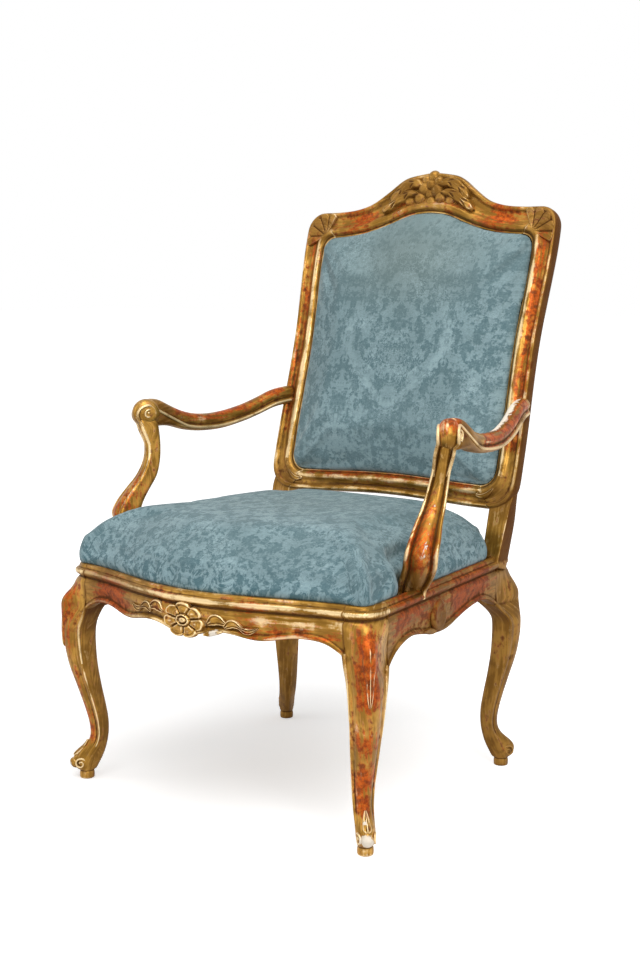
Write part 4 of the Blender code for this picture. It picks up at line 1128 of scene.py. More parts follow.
ARM_RUN = back_plane(ARM_ROOT_HEIGHT) - ARM_TIP[1]
SCROLL = 0.0246
SCROLL_PLACE = 1 - SCROLL / ARM_RUN
SCROLL_TURN = 30
ARM_TURNS = ((0, 13), (0.2, 14), (0.45, 9), (0.65, 11), (0.8, 20), (0.9, SCROLL_TURN), (1, SCROLL_TURN))
ARM_SIDE = (
    (0.00, 1.00), (0.40, 0.95), (0.72, 0.76), (0.93, 0.46), (0.97, 0.20), (0.86, 0.02), (0.76, -0.12),
    (0.80, -0.28), (0.93, -0.40), (0.97, -0.58), (0.86, -0.76), (0.55, -0.90), (0.00, -0.95),
)
CHEEK_SIDE = (
    (0.00, 1.00), (0.26, 0.975), (0.48, 0.90), (0.64, 0.80), (0.75, 0.69), (0.82, 0.60), (0.87, 0.55),
    (0.88, 0.30), (0.88, -0.10), (0.90, -0.50), (0.90, -0.80), (0.58, -0.97), (0.00, -1.00),
)


def heading(turn):
    """Directions forward and outward in plan for a member turned outwards by some degrees."""
    angle = math.radians(turn)
    return Vector((math.sin(angle), -math.cos(angle))), Vector((math.cos(angle), math.sin(angle)))


def arm_line(forth):
    """Middle of the arm in plan, its outward direction, underside, depth and width at a share of the way forward."""
    out, rise, depth, width = (eased(ARM_STATIONS, forth, k) for k in (1, 2, 3, 4))
    ahead, across = heading(eased(ARM_TURNS, forth))
    sideways = ARM_ROOT_HALF + (ARM_TIP[0] - 0.004 - ARM_ROOT_HALF) * out
    place = Vector((sideways, ARM_TIP[1] + ARM_RUN * (1 - min(forth, SCROLL_PLACE))))
    if forth > SCROLL_PLACE:
        beyond = (forth - SCROLL_PLACE) * ARM_RUN
        half = math.sqrt(max(SCROLL**2 - beyond**2, 1e-9))
        rise, depth = SCROLL - half, 2 * half
        place = place + ahead * beyond
    return place, across, SUPPORT_TOP + 0.0003 + rise, depth, width


def arm_section(forth):
    place, across, under, depth, width = arm_line(forth)
    cheek = ramp(forth, 0.78, 0.88)
    half = [(a + (c - a) * cheek, b + (d - b) * cheek) for (a, b), (c, d) in zip(ARM_SIDE, CHEEK_SIDE)]
    ring = half + [(-a, b) for a, b in reversed(half[1:-1])]
    return [(*(place + across * a * width / 2), under + depth / 2 + b * depth / 2) for a, b in ring]


arm_body = roll_bar("arm_left", [arm_section(forth) for forth in [-0.012] + spread(0.0, SCROLL_PLACE - 0.004, 46)])
print("arm", len(arm_body.data.polygons))

# %% Scroll, fillet and spiral at the end of the arm


def scroll_drum():
    """Round end of the arm: a drum with domed rim, turned about the eye of the scroll."""
    place, across, under, _, width = arm_line(SCROLL_PLACE)
    ahead, _ = heading(SCROLL_TURN)
    half = [(a, b) for a, b in CHEEK_SIDE if b > 0] + [(0.88, 0.2), (0.88, 0.0)]
    profile = [(-a, b) for a, b in reversed(half)] + half[1:]
    rows = []
    for turn in spread(0, 2 * math.pi, 41):
        row = []
        for a, b in profile:
            spot = place + across * a * 0.98 * width / 2 + ahead * math.cos(turn) * b * SCROLL
            row.append((spot.x, spot.y, under + SCROLL + math.sin(turn) * b * SCROLL))
        rows.append(row)
    return closed(lay_grid("drum", rows))


def on_cheek(forward, z, side, sink=0.0004):
    """Point on the inner or outer side of the arm, forward being metres from its root."""
    place, across, _, _, width = arm_line(forward / ARM_RUN)
    reach = width / 2 * (1 - 0.13 * ramp(forward / ARM_RUN, 0.74, 0.86)) - sink
    return (*(place + across * side * reach), z)


def fillet_line():
    """Line of the fillet: low along the arm, up over the scroll and round its front to the support."""
    line = []
    for forth in spread(0.015, 0.70, 26):
        _, _, under, depth, _ = arm_line(forth)
        line.append((forth * ARM_RUN, under + depth * 0.25))
    eye = (SCROLL_PLACE * ARM_RUN, SUPPORT_TOP + SCROLL)
    for turn in (126, 110, 95, 80, 64, 48, 32, 16, 0, -14, -26, -36):
        line.append(arc(eye, eased(((-58, 0.0210), (0, 0.0190), (60, 0.0145), (126, 0.0140)), turn), turn))
    return line


def spiral_line():
    eye = (SCROLL_PLACE * ARM_RUN - 0.001, SUPPORT_TOP + SCROLL - 0.001)
    return [arc(eye, 0.0100 * (1 - share) + 0.0022 * share, 250 - 560 * share) for share in spread(0.0, 1.0, 40)]


list_tools(scroll_drum, on_cheek, fillet_line, spiral_line)

# %% Support, and the arm joined with its scroll

FRONT_SIDE = (
    (0.00, -1.03), (0.20, -1.01), (0.40, -0.90), (0.53, -0.70), (0.60, -0.58), (0.67, -0.68), (0.76, -0.86),
    (0.88, -0.92), (0.98, -0.82), (1.00, -0.62), (0.95, -0.40), (0.90, -0.10), (0.88, 0.25), (0.86, 0.55),
    (0.76, 0.80), (0.48, 0.96), (0.00, 1.00),
)


def support_section(share, ring):
    """Places of a ring of the support, by shares of its half width and half depth."""
    out, shift, width, depth = (eased(SUPPORT_STATIONS, share, k) for k in (1, 2, 3, 4))
    ahead, across = heading(SCROLL_TURN * (0.75 + 0.25 * ramp(share, 0.0, 0.2)))
    place = Vector((SUPPORT_FOOT + out, SUPPORT_PLACE - shift))
    z = RAIL_TOP + 0.0003 + (SUPPORT_TOP - RAIL_TOP) * share
    return [(*(place + across * a * width / 2 - ahead * b * depth / 2), z) for a, b in ring]


whole_ring = list(FRONT_SIDE) + [(-a, b) for a, b in reversed(FRONT_SIDE[1:-1])]
support_left = roll_bar(
    "arm_support_left", [support_section(share, whole_ring) for share in with_ends(spread(0.0, 1.075, 46), 0.004)]
)
# Share of the support's height, and of its half width and half depth, where the fillet sinks into its edge
FILLET_END = (
    (1.03, 0.90, -0.84), (1.0, 0.90, -0.84), (0.97, 0.90, -0.84), (0.93, 0.88, -0.80),
    (0.88, 0.82, -0.66), (0.83, 0.74, -0.50),
)
FILLET_BEAD, SPIRAL_BEAD = 0.0031, 0.0021
ARM_BODY_POINTS = len(arm_body.data.vertices)
arm_parts = [arm_body, scroll_drum()]
for side in (-1, 1):
    line = [on_cheek(f, z, side) for f, z in fillet_line()]
    line += [support_section(share, [(side * out, ahead)])[0] for share, out, ahead in FILLET_END]
    arm_parts.append(draw_bead("fillet", line, FILLET_BEAD, (0.75, 0.9)))
    arm_parts.append(draw_bead("spiral", [on_cheek(f, z, side) for f, z in spiral_line()], SPIRAL_BEAD, (1.0, 0.8)))
arm_left = join("arm_left", arm_parts)
print("arm", len(arm_left.data.polygons), "support", len(support_left.data.polygons))

# %% [markdown]
# ## Carving
#
# The carver leaves wood standing proud for leaves, flowers and shells, and cuts them with gouges. A leaf could be
# sculpted, but a drawn one is easier to repeat: a spine on the face of the member, a lobed outline round it, and a
# height for each point, with a rib along the middle and hollows beside it. Flowers and shells are leaves set in a ring
# or a fan. Each is laid on the member by a small rule that turns two measures on its face and a height into a place.

# %% A leaf

LEAF_HALF = (0.07, 0.18, 0.34, 0.5, 0.66, 0.82, 0.94, 1.0)
LEAF_ACROSS = [-t for t in reversed(LEAF_HALF)] + [0.0, *LEAF_HALF]
SINK = 0.0025


def carve_leaf(
    place, spine, width, lift, lobes=3, root=0.35, tip=2.0, veins=1.0, rim=0.0, soft=0.88, fade=0.07, midrib=1.0
):
    """Leaf on a face: full lobes along its edge, a vein to each or a raised rim, and a rounded tip."""
    line = [(i / (len(spine) - 1), *spot) for i, spot in enumerate(spine)]

    def spine_at(share):
        share = min(max(share, 0.0), 1.0)
        return Vector((eased(line, share, 1), eased(line, share, 2)))

    rows = []
    for s in spread(0.0, 1.0, 7 * lobes + 12):
        along = (spine_at(s + 0.03) - spine_at(s - 0.03)).normalized()
        beside = Vector((-along.y, along.x))
        full = min(1.0, s / root) ** 0.6 * (1 - max(0.0, (s - root) / (1 - root)) ** tip) ** 0.6
        half = max(width * full * (1 - 0.20 * abs(math.cos(math.pi * lobes * s)) ** 3), 0.0004)
        whole = ramp(s, 0.0, fade) * (1 - ramp(s, 0.95, 1.0))
        row = []
        for t in LEAF_ACROSS:
            edge = whole * (1 - ramp(abs(t), soft, 1.0))
            vein = abs(math.cos(math.pi * (lobes * s - 0.6 * abs(t)))) ** 8 * min(1.0, 3 * abs(t))
            rib = 0.14 * soft_spot(t, 0.09) - 0.16 * soft_spot(abs(t) - 0.22, 0.10)
            body = 0.45 + 0.55 * math.sqrt(max(1 - abs(t) ** 2.4, 0.0)) + veins * (rib * midrib - 0.26 * vein)
            dish = 0.40 + 0.60 * soft_spot(abs(t) - 0.80, 0.16)
            body = body * (1 - rim) + dish * rim
            row.append(place(*(spine_at(s) + beside * t * half), lift * body * edge - SINK * (1 - edge)))
        rows.append(row)
    return closed(lay_grid("leaf", rows))


list_tools(carve_leaf)

# %% A round boss


def carve_boss(place, centre, radius, profile):
    """Round boss: rows of share of the radius and height."""
    rows = []
    for share, height in profile:
        rows.append([
            place(centre[0] + radius * share * math.cos(a), centre[1] + radius * share * math.sin(a), height)
            for a in spread(0, 2 * math.pi, 25)
        ])
    return closed(lay_grid("boss", rows))


list_tools(carve_boss)

# %% A flower

BOSS_PROFILE = (
    (0.0, 1.15), (0.12, 1.05), (0.17, 0.55), (0.20, 0.55), (0.25, 1.02), (0.29, 1.02), (0.34, 0.45), (0.40, 0.55),
)
FLOWER_ROWS = (
    0, 0.06, 0.12, 0.16, 0.19, 0.22, 0.25, 0.29, 0.33, 0.37, 0.42, 0.5, 0.58, 0.66, 0.74, 0.81, 0.87, 0.92, 0.96, 0.985,
    1.0,
)


def carve_flower(place, centre, reach, petals, lift, turn=0.0):
    """Open flower cut as one relief: scalloped petals with raised rims, round a boss in a ring."""
    rows = []
    for k in FLOWER_ROWS:
        row = []
        for angle in spread(0, 2 * math.pi, 16 * petals + 1):
            phase = (angle - math.radians(turn)) * petals / (2 * math.pi)
            off = abs(phase - round(phase))
            size = k * (1 - 0.20 * (2 * off) ** 3 * k)
            gap = soft_spot((0.5 - off) * k, 0.050)
            petal = 0.70 + 0.26 * soft_spot(k - 0.90, 0.07) - 0.60 * gap
            petal += 0.22 * soft_spot(k - 0.62, 0.14) * soft_spot(off, 0.20)
            share = ramp(k, 0.33, 0.42)
            height = lift * (eased(BOSS_PROFILE, k) * (1 - share) + petal * share)
            outer = ramp(k, 0.94, 1.0)
            x, z = centre[0] + reach[0] * size * math.cos(angle), centre[1] + reach[1] * size * math.sin(angle)
            row.append(place(x, z, height * (1 - outer) - SINK * outer))
        rows.append(row)
    return closed(lay_grid("flower", rows))


list_tools(carve_flower)

# %% A shell

SHELL_ROWS = (0.08, 0.14, 0.22, 0.33, 0.45, 0.57, 0.68, 0.78, 0.86, 0.92, 0.96, 0.985, 1.0)


def carve_shell(place, root, toward, opening, reach, lobes, lift):
    """Shell that opens from its root in rounded ribs with a scalloped rim."""
    rows = []
    for k in SHELL_ROWS:
        row = []
        for share in spread(0.0, 1.0, 12 * lobes + 1):
            phase = share * lobes - 0.5
            off = abs(phase - round(phase))
            angle = math.radians(toward + opening * (share - 0.5))
            size = reach * k * (1 - 0.16 * (2 * off) ** 2.5 * k)
            side = ramp(min(share, 1 - share) * lobes, 0.0, 0.16)
            rib = 0.40 + 0.60 * math.sqrt(max(1 - (2 * off) ** 2, 0.0))
            curl = 0.55 + 0.35 * k + 0.30 * soft_spot(k - 0.12, 0.09)
            edge = side * (1 - ramp(k, 0.93, 1.0))
            x, z = root[0] + size * math.cos(angle), root[1] + size * math.sin(angle)
            row.append(place(x, z, lift * rib * curl * edge - SINK * (1 - edge)))
        rows.append(row)
    return closed(lay_grid("shell", rows))


list_tools(carve_shell)

# %% Flower and foliage on the front rail, cartouches on the side rails


def on_front(x, z, height):
    return (x, front_y(x) + 0.0040 - height, z)


def on_side(y, z, height):
    return (side_x(y) - 0.0042 + height, y, z)


DOME = ((0, 0.0052), (0.3, 0.0049), (0.55, 0.0040), (0.75, 0.0026), (0.9, 0.0008), (1.0, -0.0020))
front_carving = [carve_flower(on_front, (FLOWER_PLACE, 0.3245), (0.041, 0.0285), 7, 0.0068, 90)]
for side, rise in ((-1, 0.008), (1, 0.0)):
    for spine, width, lift in (
        (((0.042, 0.322), (0.058, 0.331), (0.076, 0.325)), 0.0098, 0.0054),
        (((0.070, 0.318), (0.084, 0.327), (0.100, 0.321)), 0.0074, 0.0048),
        (((0.094, 0.322), (0.109, 0.317), (0.124, 0.323)), 0.0052, 0.0042),
    ):
        spots = [(FLOWER_PLACE + side * x, z + rise) for x, z in spine]
        front_carving.append(carve_leaf(on_front, spots, width, lift, 1, veins=0.3, rim=0.65))
lip = [(FLOWER_PLACE + x, z) for x, z in ((0.036, 0.3060), (0.052, 0.3100), (0.072, 0.3145))]
front_carving.append(carve_leaf(on_front, lip, 0.0052, 0.0066, 1, veins=0.0))
front_rail = join("front_rail", [front_rail] + front_carving)
CARTOUCHE_PLACE = 0.207
# Share of the radius, and relief there
CARTOUCHE = (
    (0, 0.0046), (0.4, 0.0050), (0.62, 0.0058), (0.74, 0.0060), (0.86, 0.0042), (0.95, 0.0012), (1.0, -0.0015),
)
side_lip = ((0.196, 0.2935), (0.174, 0.2975), (0.150, 0.3015))
side_carving = [
    carve_boss(on_side, (CARTOUCHE_PLACE, 0.3155), 0.0275, CARTOUCHE),
    carve_boss(on_side, (CARTOUCHE_PLACE, 0.3165), 0.0105, DOME),
    carve_leaf(on_side, side_lip, 0.0056, 0.0060, 1, veins=0.0),
]
side_rail = join("side_rail_left", [side_rail] + side_carving)
print("rails with carving", len(front_rail.data.polygons), len(side_rail.data.polygons))

# %% Leaves on the knees and scrolls on the toes


def on_ridge(piece, foot, outward):
    """Rule for places on the outward ridge of a leg, found by looking at the leg from outside."""
    away = Vector(outward).normalized()
    beside = Vector((-away.y, away.x))
    bpy.context.view_layer.update()

    def place(across, z, height):
        start = Vector(foot) + away * 0.2 + beside * across
        found, spot, normal, _ = piece.ray_cast((start.x, start.y + FEET_LINE, z), (-away.x, -away.y, 0))
        lifted = spot + normal * height if found else Vector((start.x, start.y + FEET_LINE, z))
        return (lifted.x, lifted.y - FEET_LINE, lifted.z)

    return place


TOE_EYE, TOE_BEAD = (0.0105, 0.0265), 0.0018


def toe_scrolls(foot, outward):
    """Spiral on each side of a scrolled toe."""
    away = Vector(outward).normalized()
    beside = Vector((-away.y, away.x))
    pieces = []
    for side in (-1, 1):
        line = []
        for share in spread(0.0, 1.0, 26):
            reach, z = arc(TOE_EYE, 0.0098 * (1 - share) + 0.0020 * share, 150 - 480 * share)
            spot = Vector(foot) + away * reach + beside * side * (0.0128 - 0.0030 * max(reach - 0.010, 0) / 0.01)
            line.append((spot.x, spot.y, z))
        pieces.append(draw_bead("toe", line, TOE_BEAD, (1.0, 0.8)))
    return pieces


ridge = on_ridge(front_leg, front_foot, (1, -1))
knee_spine = ((0, 0.338), (0, 0.305), (0, 0.265), (0, 0.222))
knee = [
    carve_leaf(ridge, knee_spine, 0.0200, 0.0032, 3, 0.10, 1.0, veins=0.6, soft=0.45, fade=0.35),
    carve_boss(ridge, (0, 0.0262), 0.0098, DOME),
    carve_leaf(ridge, ((0, 0.0370), (0, 0.0500), (0, 0.0660)), 0.0075, 0.0030, 1, 0.15, 1.2),
]
front_leg = join("front_leg_left", [front_leg] + front_edges + knee + toe_scrolls(front_foot, (1, -1)))
rear_leg = join("rear_leg_left", [rear_leg, rear_edge] + toe_scrolls(rear_foot, (1, 1)))
print("legs with carving", len(front_leg.data.polygons), len(rear_leg.data.polygons))

# %% Spray on the crest and shells in the corners of the back


def on_back(x, z, height):
    return back_point(x, z, height - 0.0020)


crest_carving = []
BUD = ((0, 1.0), (0.35, 0.94), (0.6, 0.78), (0.8, 0.50), (0.93, 0.15), (1.0, -0.2))
SPRAY_MIDDLE = (0.0, 0.996)
# Place across and height, radius and relief of each bud
buds = [(*SPRAY_MIDDLE, 0.0120, 0.0125), (0.002, 0.967, 0.0105, 0.0070)]
# Radius and relief of each lobe round the middle of the spray
LOBES = ((0.0130, 0.0104), (0.0112, 0.0090), (0.0138, 0.0114), (0.0104, 0.0082), (0.0145, 0.0104), (0.0120, 0.0094))
buds += [(*arc(SPRAY_MIDDLE, 0.0152, 84 + 60 * k), *lobe) for k, lobe in enumerate(LOBES)]
for side in (-1, 1):
    for spine, width, lift in (
        (((0.010, 0.993), (0.038, 1.0000), (0.062, 0.989), (0.084, 0.966)), 0.0140, 0.0098),
        (((0.020, 0.980), (0.046, 0.980), (0.072, 0.966), (0.098, 0.9470)), 0.0120, 0.0120),
    ):
        spots = [(side * x, z) for x, z in spine]
        crest_carving.append(carve_leaf(on_back, spots, width, lift, 3, tip=4.0, veins=1.2, soft=0.70, midrib=0.0))
    buds += [(side * x, z, radius, height) for x, z, radius, height in (
        (0.022, 0.9735, 0.0130, 0.0090), (0.043, 0.9690, 0.0112, 0.0074),
    )]
for x, z, radius, height in buds:
    crest_carving.append(carve_boss(on_back, (x, z), radius, [(k, height * h) for k, h in BUD]))
crest = join("crest", [crest] + crest_carving)
stile_carving = [
    carve_shell(on_back, (SIGHT_HALF + 0.003, SIGHT_TOP + 0.003), 45, 150, 0.046, 5, 0.0072),
    carve_leaf(on_back, ((0.184, 0.4655), (0.203, 0.4690), (0.221, 0.4815)), 0.0090, 0.0058, 1, veins=0.3, soft=0.75),
]
stile = join("stile_left", [stile] + stile_carving)
print("back with carving", len(crest.data.polygons), len(stile.data.polygons))

# %% [markdown]
# ## Joining and gilding the members
#
# Each member of the chair is one piece of wood, so its carving is joined to it before it is gilt. The right side of
# the chair is a mirrored copy with its own mesh. The pegs of the joints are under the gesso, so the members stand for
# them too, apart from the four at the rear of the back, which stay in sight.

# %% Front and rear rails

# Places of wear: across, behind the front feet, height, reach and strength
front_rubs = [
    (0.12, -0.06, 0.306, 0.018, 0.8), (0.16, -0.05, 0.308, 0.020, 1.0), (0.20, -0.04, 0.310, 0.020, 1.0),
    (0.24, -0.03, 0.310, 0.022, 0.8), (-0.17, -0.05, 0.325, 0.035, 1.2), (-0.21, -0.04, 0.330, 0.03, 0.9),
    (0.12, -0.07, 0.358, 0.03, 0.7), (-0.05, -0.09, 0.358, 0.03, 0.6),
]
lip_white = [(FLOWER_PLACE + 0.056, -0.075, 0.309, 0.010, 0.8)]


def crack(place, joint):
    """Dirt in the thin crack of a joint."""
    return 0.85 * soft_spot(place - joint, 0.0026)


def bead_line(table):
    """Pale line on the bead under the top of the front rail: worn gilding and a painted highlight."""
    return 0.42 * soft_spot(table[:, 2] - 0.3565, 0.0042) * (from_feet(table) < 0.05)


def front_face(table):
    """Painted highlight on the swelling face of the front rail, on the sitter's left, with the pale line of the bead
    over it.
    """
    lit = np.clip((table[:, 0] - 0.07) / 0.06, 0, 1) * (from_feet(table) < 0.0)
    return bead_line(table) + 0.40 * soft_spot(table[:, 2] - 0.332, 0.011) * lit


def front_shade_and_dirt(table, normals):
    # Painted shade on the sitter's right end of the rail, dirt in the cracks of the joints, and painted shade on faces
    # that look down
    dark = 0.30 * np.clip((-0.03 - table[:, 0]) / 0.10, 0, 1)
    return crack(np.abs(table[:, 0]), FRONT_JOINT) + dark + underside(table, normals)


def rear_inside(table):
    return np.clip((0.470 - from_feet(table)) / 0.004, 0, 1)


gild(front_rail, front_rubs, lip_white, inside_of_rails, front_shade_and_dirt, 0.85)
brighten(front_rail, front_face)
stand_for(front_rail, "giltwood", "front_seat_rail")
gild(rear_rail, bare=rear_inside)
stand_for(rear_rail, "giltwood", "rear_seat_rail", "peg_rear_rail_left", "peg_rear_rail_right")

# %% Crest and lower rail of the back

crest_rubs = [
    (0.15, 0.6, 0.935, 0.04, 0.9), (-0.15, 0.6, 0.935, 0.04, 0.8), (0.05, 0.6, 0.947, 0.02, 0.6),
    (-0.05, 0.6, 0.947, 0.02, 0.6),
]
lower_rubs = [(x, 0.466, lower_edge(x, SIGHT_BOTTOM) - 0.002, 0.011, 0.9) for x in spread(-0.17, 0.17, 17)]


def frame_darkening(table, normals):
    """Darker outer sides, rear, corners, middle of the crest and rear legs, and painted shade on faces that look down.
    """
    x, z = np.abs(table[:, 0]), table[:, 2]
    outer = np.clip((np.sign(table[:, 0]) * normals[:, 0] - 0.55) * 4, 0, 1) * (z > 0.36) * (x > 0.246)
    rear = np.clip((normals[:, 1] - 0.5) * 3, 0, 1) * (z > 0.42)
    crown = 0.48 * soft_spot(x, 0.13) * soft_spot(z - 0.985, 0.030)
    corners = 0.62 * soft_spot(x - 0.238, 0.036) * (soft_spot(z - 0.93, 0.036) + soft_spot(z - 0.465, 0.03))
    return outer * 0.95 + rear * 0.6 + crown + corners + 0.42 * (z < 0.37) + underside(table, normals)


def lower_roll(table):
    """Painted highlight along the roll of the lower rail of the back."""
    share = np.minimum(np.abs(table[:, 0]) / POST_INNER_HALF, 1.0)
    edge = SIGHT_BOTTOM + LOWER_RISE * (1 + np.cos(math.pi * share)) / 2
    return 0.30 * soft_spot(edge - 0.0125 - table[:, 2], 0.0045) * (from_feet(table) < 0.475)


gild(crest, crest_rubs, shade_and_dirt_rule=frame_darkening, pale=0.6)
stand_for(crest, "giltwood", "crest_rail")
gild(lower_rail, lower_rubs, shade_and_dirt_rule=frame_darkening)
brighten(lower_rail, lower_roll)
stand_for(lower_rail, "giltwood", "lower_back_rail")

# %% Painted shade, dirt and painted highlights of the members that come in pairs


def leg_shade_and_dirt(table, normals):
    """Painted shade on the inner faces of the front legs, a darker band at the knee, dirt in the cracks of the joints,
    and painted shade on faces that look down.
    """
    inward = (normals[:, 1] - np.sign(table[:, 0]) * normals[:, 0]) / math.sqrt(2)
    x, y, z = np.abs(table[:, 0]), from_feet(table), table[:, 2]
    joints = (crack(x, FRONT_JOINT - OVERLAP) * (y < 0.03) + 0.4 * crack(y, SIDE_JOINT + OVERLAP)) * (z > 0.25)
    return 0.5 * np.clip(inward, 0, 1) + joints + 0.2 * soft_spot(z - 0.275, 0.03) + underside(table, normals)


def side_shade_and_dirt(table, normals):
    # Painted shade over the whole side rail, a darker round cartouche, dirt in the cracks of the joints, and painted
    # shade on faces that look down
    y = from_feet(table)
    round_carving = 0.35 * soft_spot(y - 0.205, 0.03) * soft_spot(table[:, 2] - 0.315, 0.03)
    return 0.42 + round_carving + 0.4 * crack(y, SIDE_JOINT) + 0.6 * crack(y, REAR_JOINT) + underside(table, normals)


def arm_shade(table, normals):
    """Painted shade on the cheeks behind the scroll, inside the fillets, and on faces that look down."""
    behind = soft_spot(from_feet(table) - 0.208, 0.030) * (np.arange(len(table)) < ARM_BODY_POINTS)
    return 0.75 * np.clip(2 * np.abs(normals[:, 0]) - 0.9, 0, 1) * behind + underside(table, normals)


def stile_roll(table):
    """Painted highlight along the roll beside the opening of the back, the brightest line of the frame."""
    x, z = np.abs(table[:, 0]), table[:, 2]
    edge = np.array([sight_x(min(max(height, SIGHT_BOTTOM), SIGHT_TOP)) for height in z])
    front = from_feet(table) < back_plane(z) + 0.004
    return 0.55 * soft_spot(x - edge - 0.0105, 0.0040) * front * (z > 0.50) * (z < 0.905)


list_tools(leg_shade_and_dirt, side_shade_and_dirt, arm_shade, stile_roll)

# %% Places of wear on the members that come in pairs


def along_arm(low, high, count, across, up, reach, strength):
    """Places along the arm, some way across it and up its depth."""
    places = []
    for forth in spread(low, high, count):
        middle, outward, under, depth, _ = arm_line(forth)
        spot = middle + outward * across
        places.append((spot.x, spot.y, under + depth * up, reach, strength))
    return places


def other_hand(places, share):
    """The same places on the other side of the chair, more or less worn."""
    return [(-x, y, z, reach, strength * share) for x, y, z, reach, strength in places]


ridge_rubs = [
    (0.304, -0.022, 0.32, 0.022, 1.0), (0.308, -0.024, 0.28, 0.024, 1.0), (0.304, -0.020, 0.24, 0.022, 1.0),
    (0.294, -0.010, 0.17, 0.024, 0.8), (0.284, 0.0, 0.11, 0.024, 0.9), (0.282, 0.002, 0.07, 0.020, 0.7),
]
toe_white = [(0.301, -0.017, 0.026, 0.011, 1.3), (0.292, -0.010, 0.052, 0.007, 0.7), (0.306, -0.024, 0.334, 0.010, 0.6)]
rail_rubs = [
    (0.30, 0.08, 0.33, 0.03, 0.5), (0.29, 0.14, 0.33, 0.03, 0.5), (0.265, 0.29, 0.325, 0.035, 1.1),
    (0.255, 0.36, 0.33, 0.035, 1.1),
]
rail_rubs += [(0.29, y, 0.358, 0.04, 0.7) for y in (0.1, 0.2, 0.3, 0.4)]
rail_white = [(0.262, 0.40, 0.325, 0.006, 1.0)]
stile_rubs = [(0.243, back_plane(z), z, 0.014, 0.75) for z in spread(0.55, 0.90, 15)]
stile_white = [(0.262, 0.60, 0.85, 0.006, 0.8), (0.262, 0.58, 0.79, 0.006, 0.8)]
arm_rubs = along_arm(0.05, 0.6, 8, 0.010, 0.7, 0.016, 0.8) + along_arm(0.9, 0.97, 3, 0.0, 0.9, 0.016, 0.8)
arm_streaks = along_arm(0.08, 0.76, 12, -0.006, 0.86, 0.012, 0.95)
arm_white = along_arm(0.05, 0.46, 10, -0.007, 0.97, 0.0115, 0.62)
support_rubs = [(0.30, 0.11, 0.415, 0.026, 0.6), (0.308, 0.112, 0.455, 0.030, 0.7), (0.30, 0.14, 0.50, 0.03, 0.4)]
# Painted highlight: a pale streak down the front roll of each support, in the white chip colour
support_highlight = [(*support_section(share, [(0.15, -1.0)])[0], 0.008, 0.40) for share in spread(0.34, 0.64, 7)]
print("rubbed places", len(ridge_rubs + rail_rubs + stile_rubs + arm_rubs + arm_streaks + support_rubs))

# %% Gild both sides of the chair and set them in place of the CAD nodes
post_left = join("back_post_left", [rear_leg, post, stile])
LEG_PEGS, POST_PEGS = ("peg_front_rail", "peg_side_rail_front"), ("peg_side_rail_rear", "peg_arm")
# Each member: its name, its pegs, its places rubbed on the left and on the right, its white places (on the supports a
# painted highlight), its painted shade and dirt, and how pale its ridges are
PAIRS = (
    (front_leg, "front_leg", LEG_PEGS, ridge_rubs, ridge_rubs, toe_white, leg_shade_and_dirt, 0.8),
    (side_rail, "side_seat_rail", ("peg_arm_support",), rail_rubs, rail_rubs, rail_white, side_shade_and_dirt, 0.5),
    (post_left, "back_post", POST_PEGS, stile_rubs, stile_rubs, stile_white, frame_darkening, 0.9),
    (arm_left, "arm", (), arm_rubs, arm_streaks, arm_white, arm_shade, 0.9),
    (support_left, "arm_support", (), support_rubs, support_rubs, support_highlight, underside, 0.85),
)
RIGHT_RUB, RIGHT_WHITE = 0.8, 0.35
# Lines painted pale as highlights on the front legs and the back posts
BRIGHT_LINES = {"front_leg": bead_line, "back_post": stile_roll}
for piece, label, pegs, rubs, twin_rubs, white_marks, shade_and_dirt_rule, pale in PAIRS:
    twin = mirror_copy(piece, f"{label}_gilt_right")
    piece.name = piece.data.name = f"{label}_gilt_left"
    inner = inside_of_rails if label == "side_seat_rail" else None
    gild(piece, rubs, white_marks, inner, shade_and_dirt_rule, pale)
    gild(twin, other_hand(twin_rubs, RIGHT_RUB), other_hand(white_marks, RIGHT_WHITE), inner, shade_and_dirt_rule, pale)
    for made, word in ((piece, "left"), (twin, "right")):
        if label in BRIGHT_LINES:
            brighten(made, BRIGHT_LINES[label])
        stand_for(made, "giltwood", f"{label}_{word}", *[f"{peg}_{word}" for peg in pegs])

# %% [markdown]
# ## Damask
#
# The cloth is a tone-on-tone figured velvet: a satin ground with leaves in a darker pile, and one large ogee on the
# back. Worn places are greyer and flatter, and places that were less worn keep their blue. The lower part of the back
# is painted lighter too, as painted light against the shade of the seat and the arms. A woven figure could be painted
# on an image, but one built from mirrored noise and a wave stays sharp at any size. The figure lies on a value in
# metres that is painted on the points of each cloth, so it follows the stuffing.

# %% The damask finish


def wave(value, length):
    turn = value * (2 * math.pi / length)
    return turn.sum("COSINE", turn, 0.0)


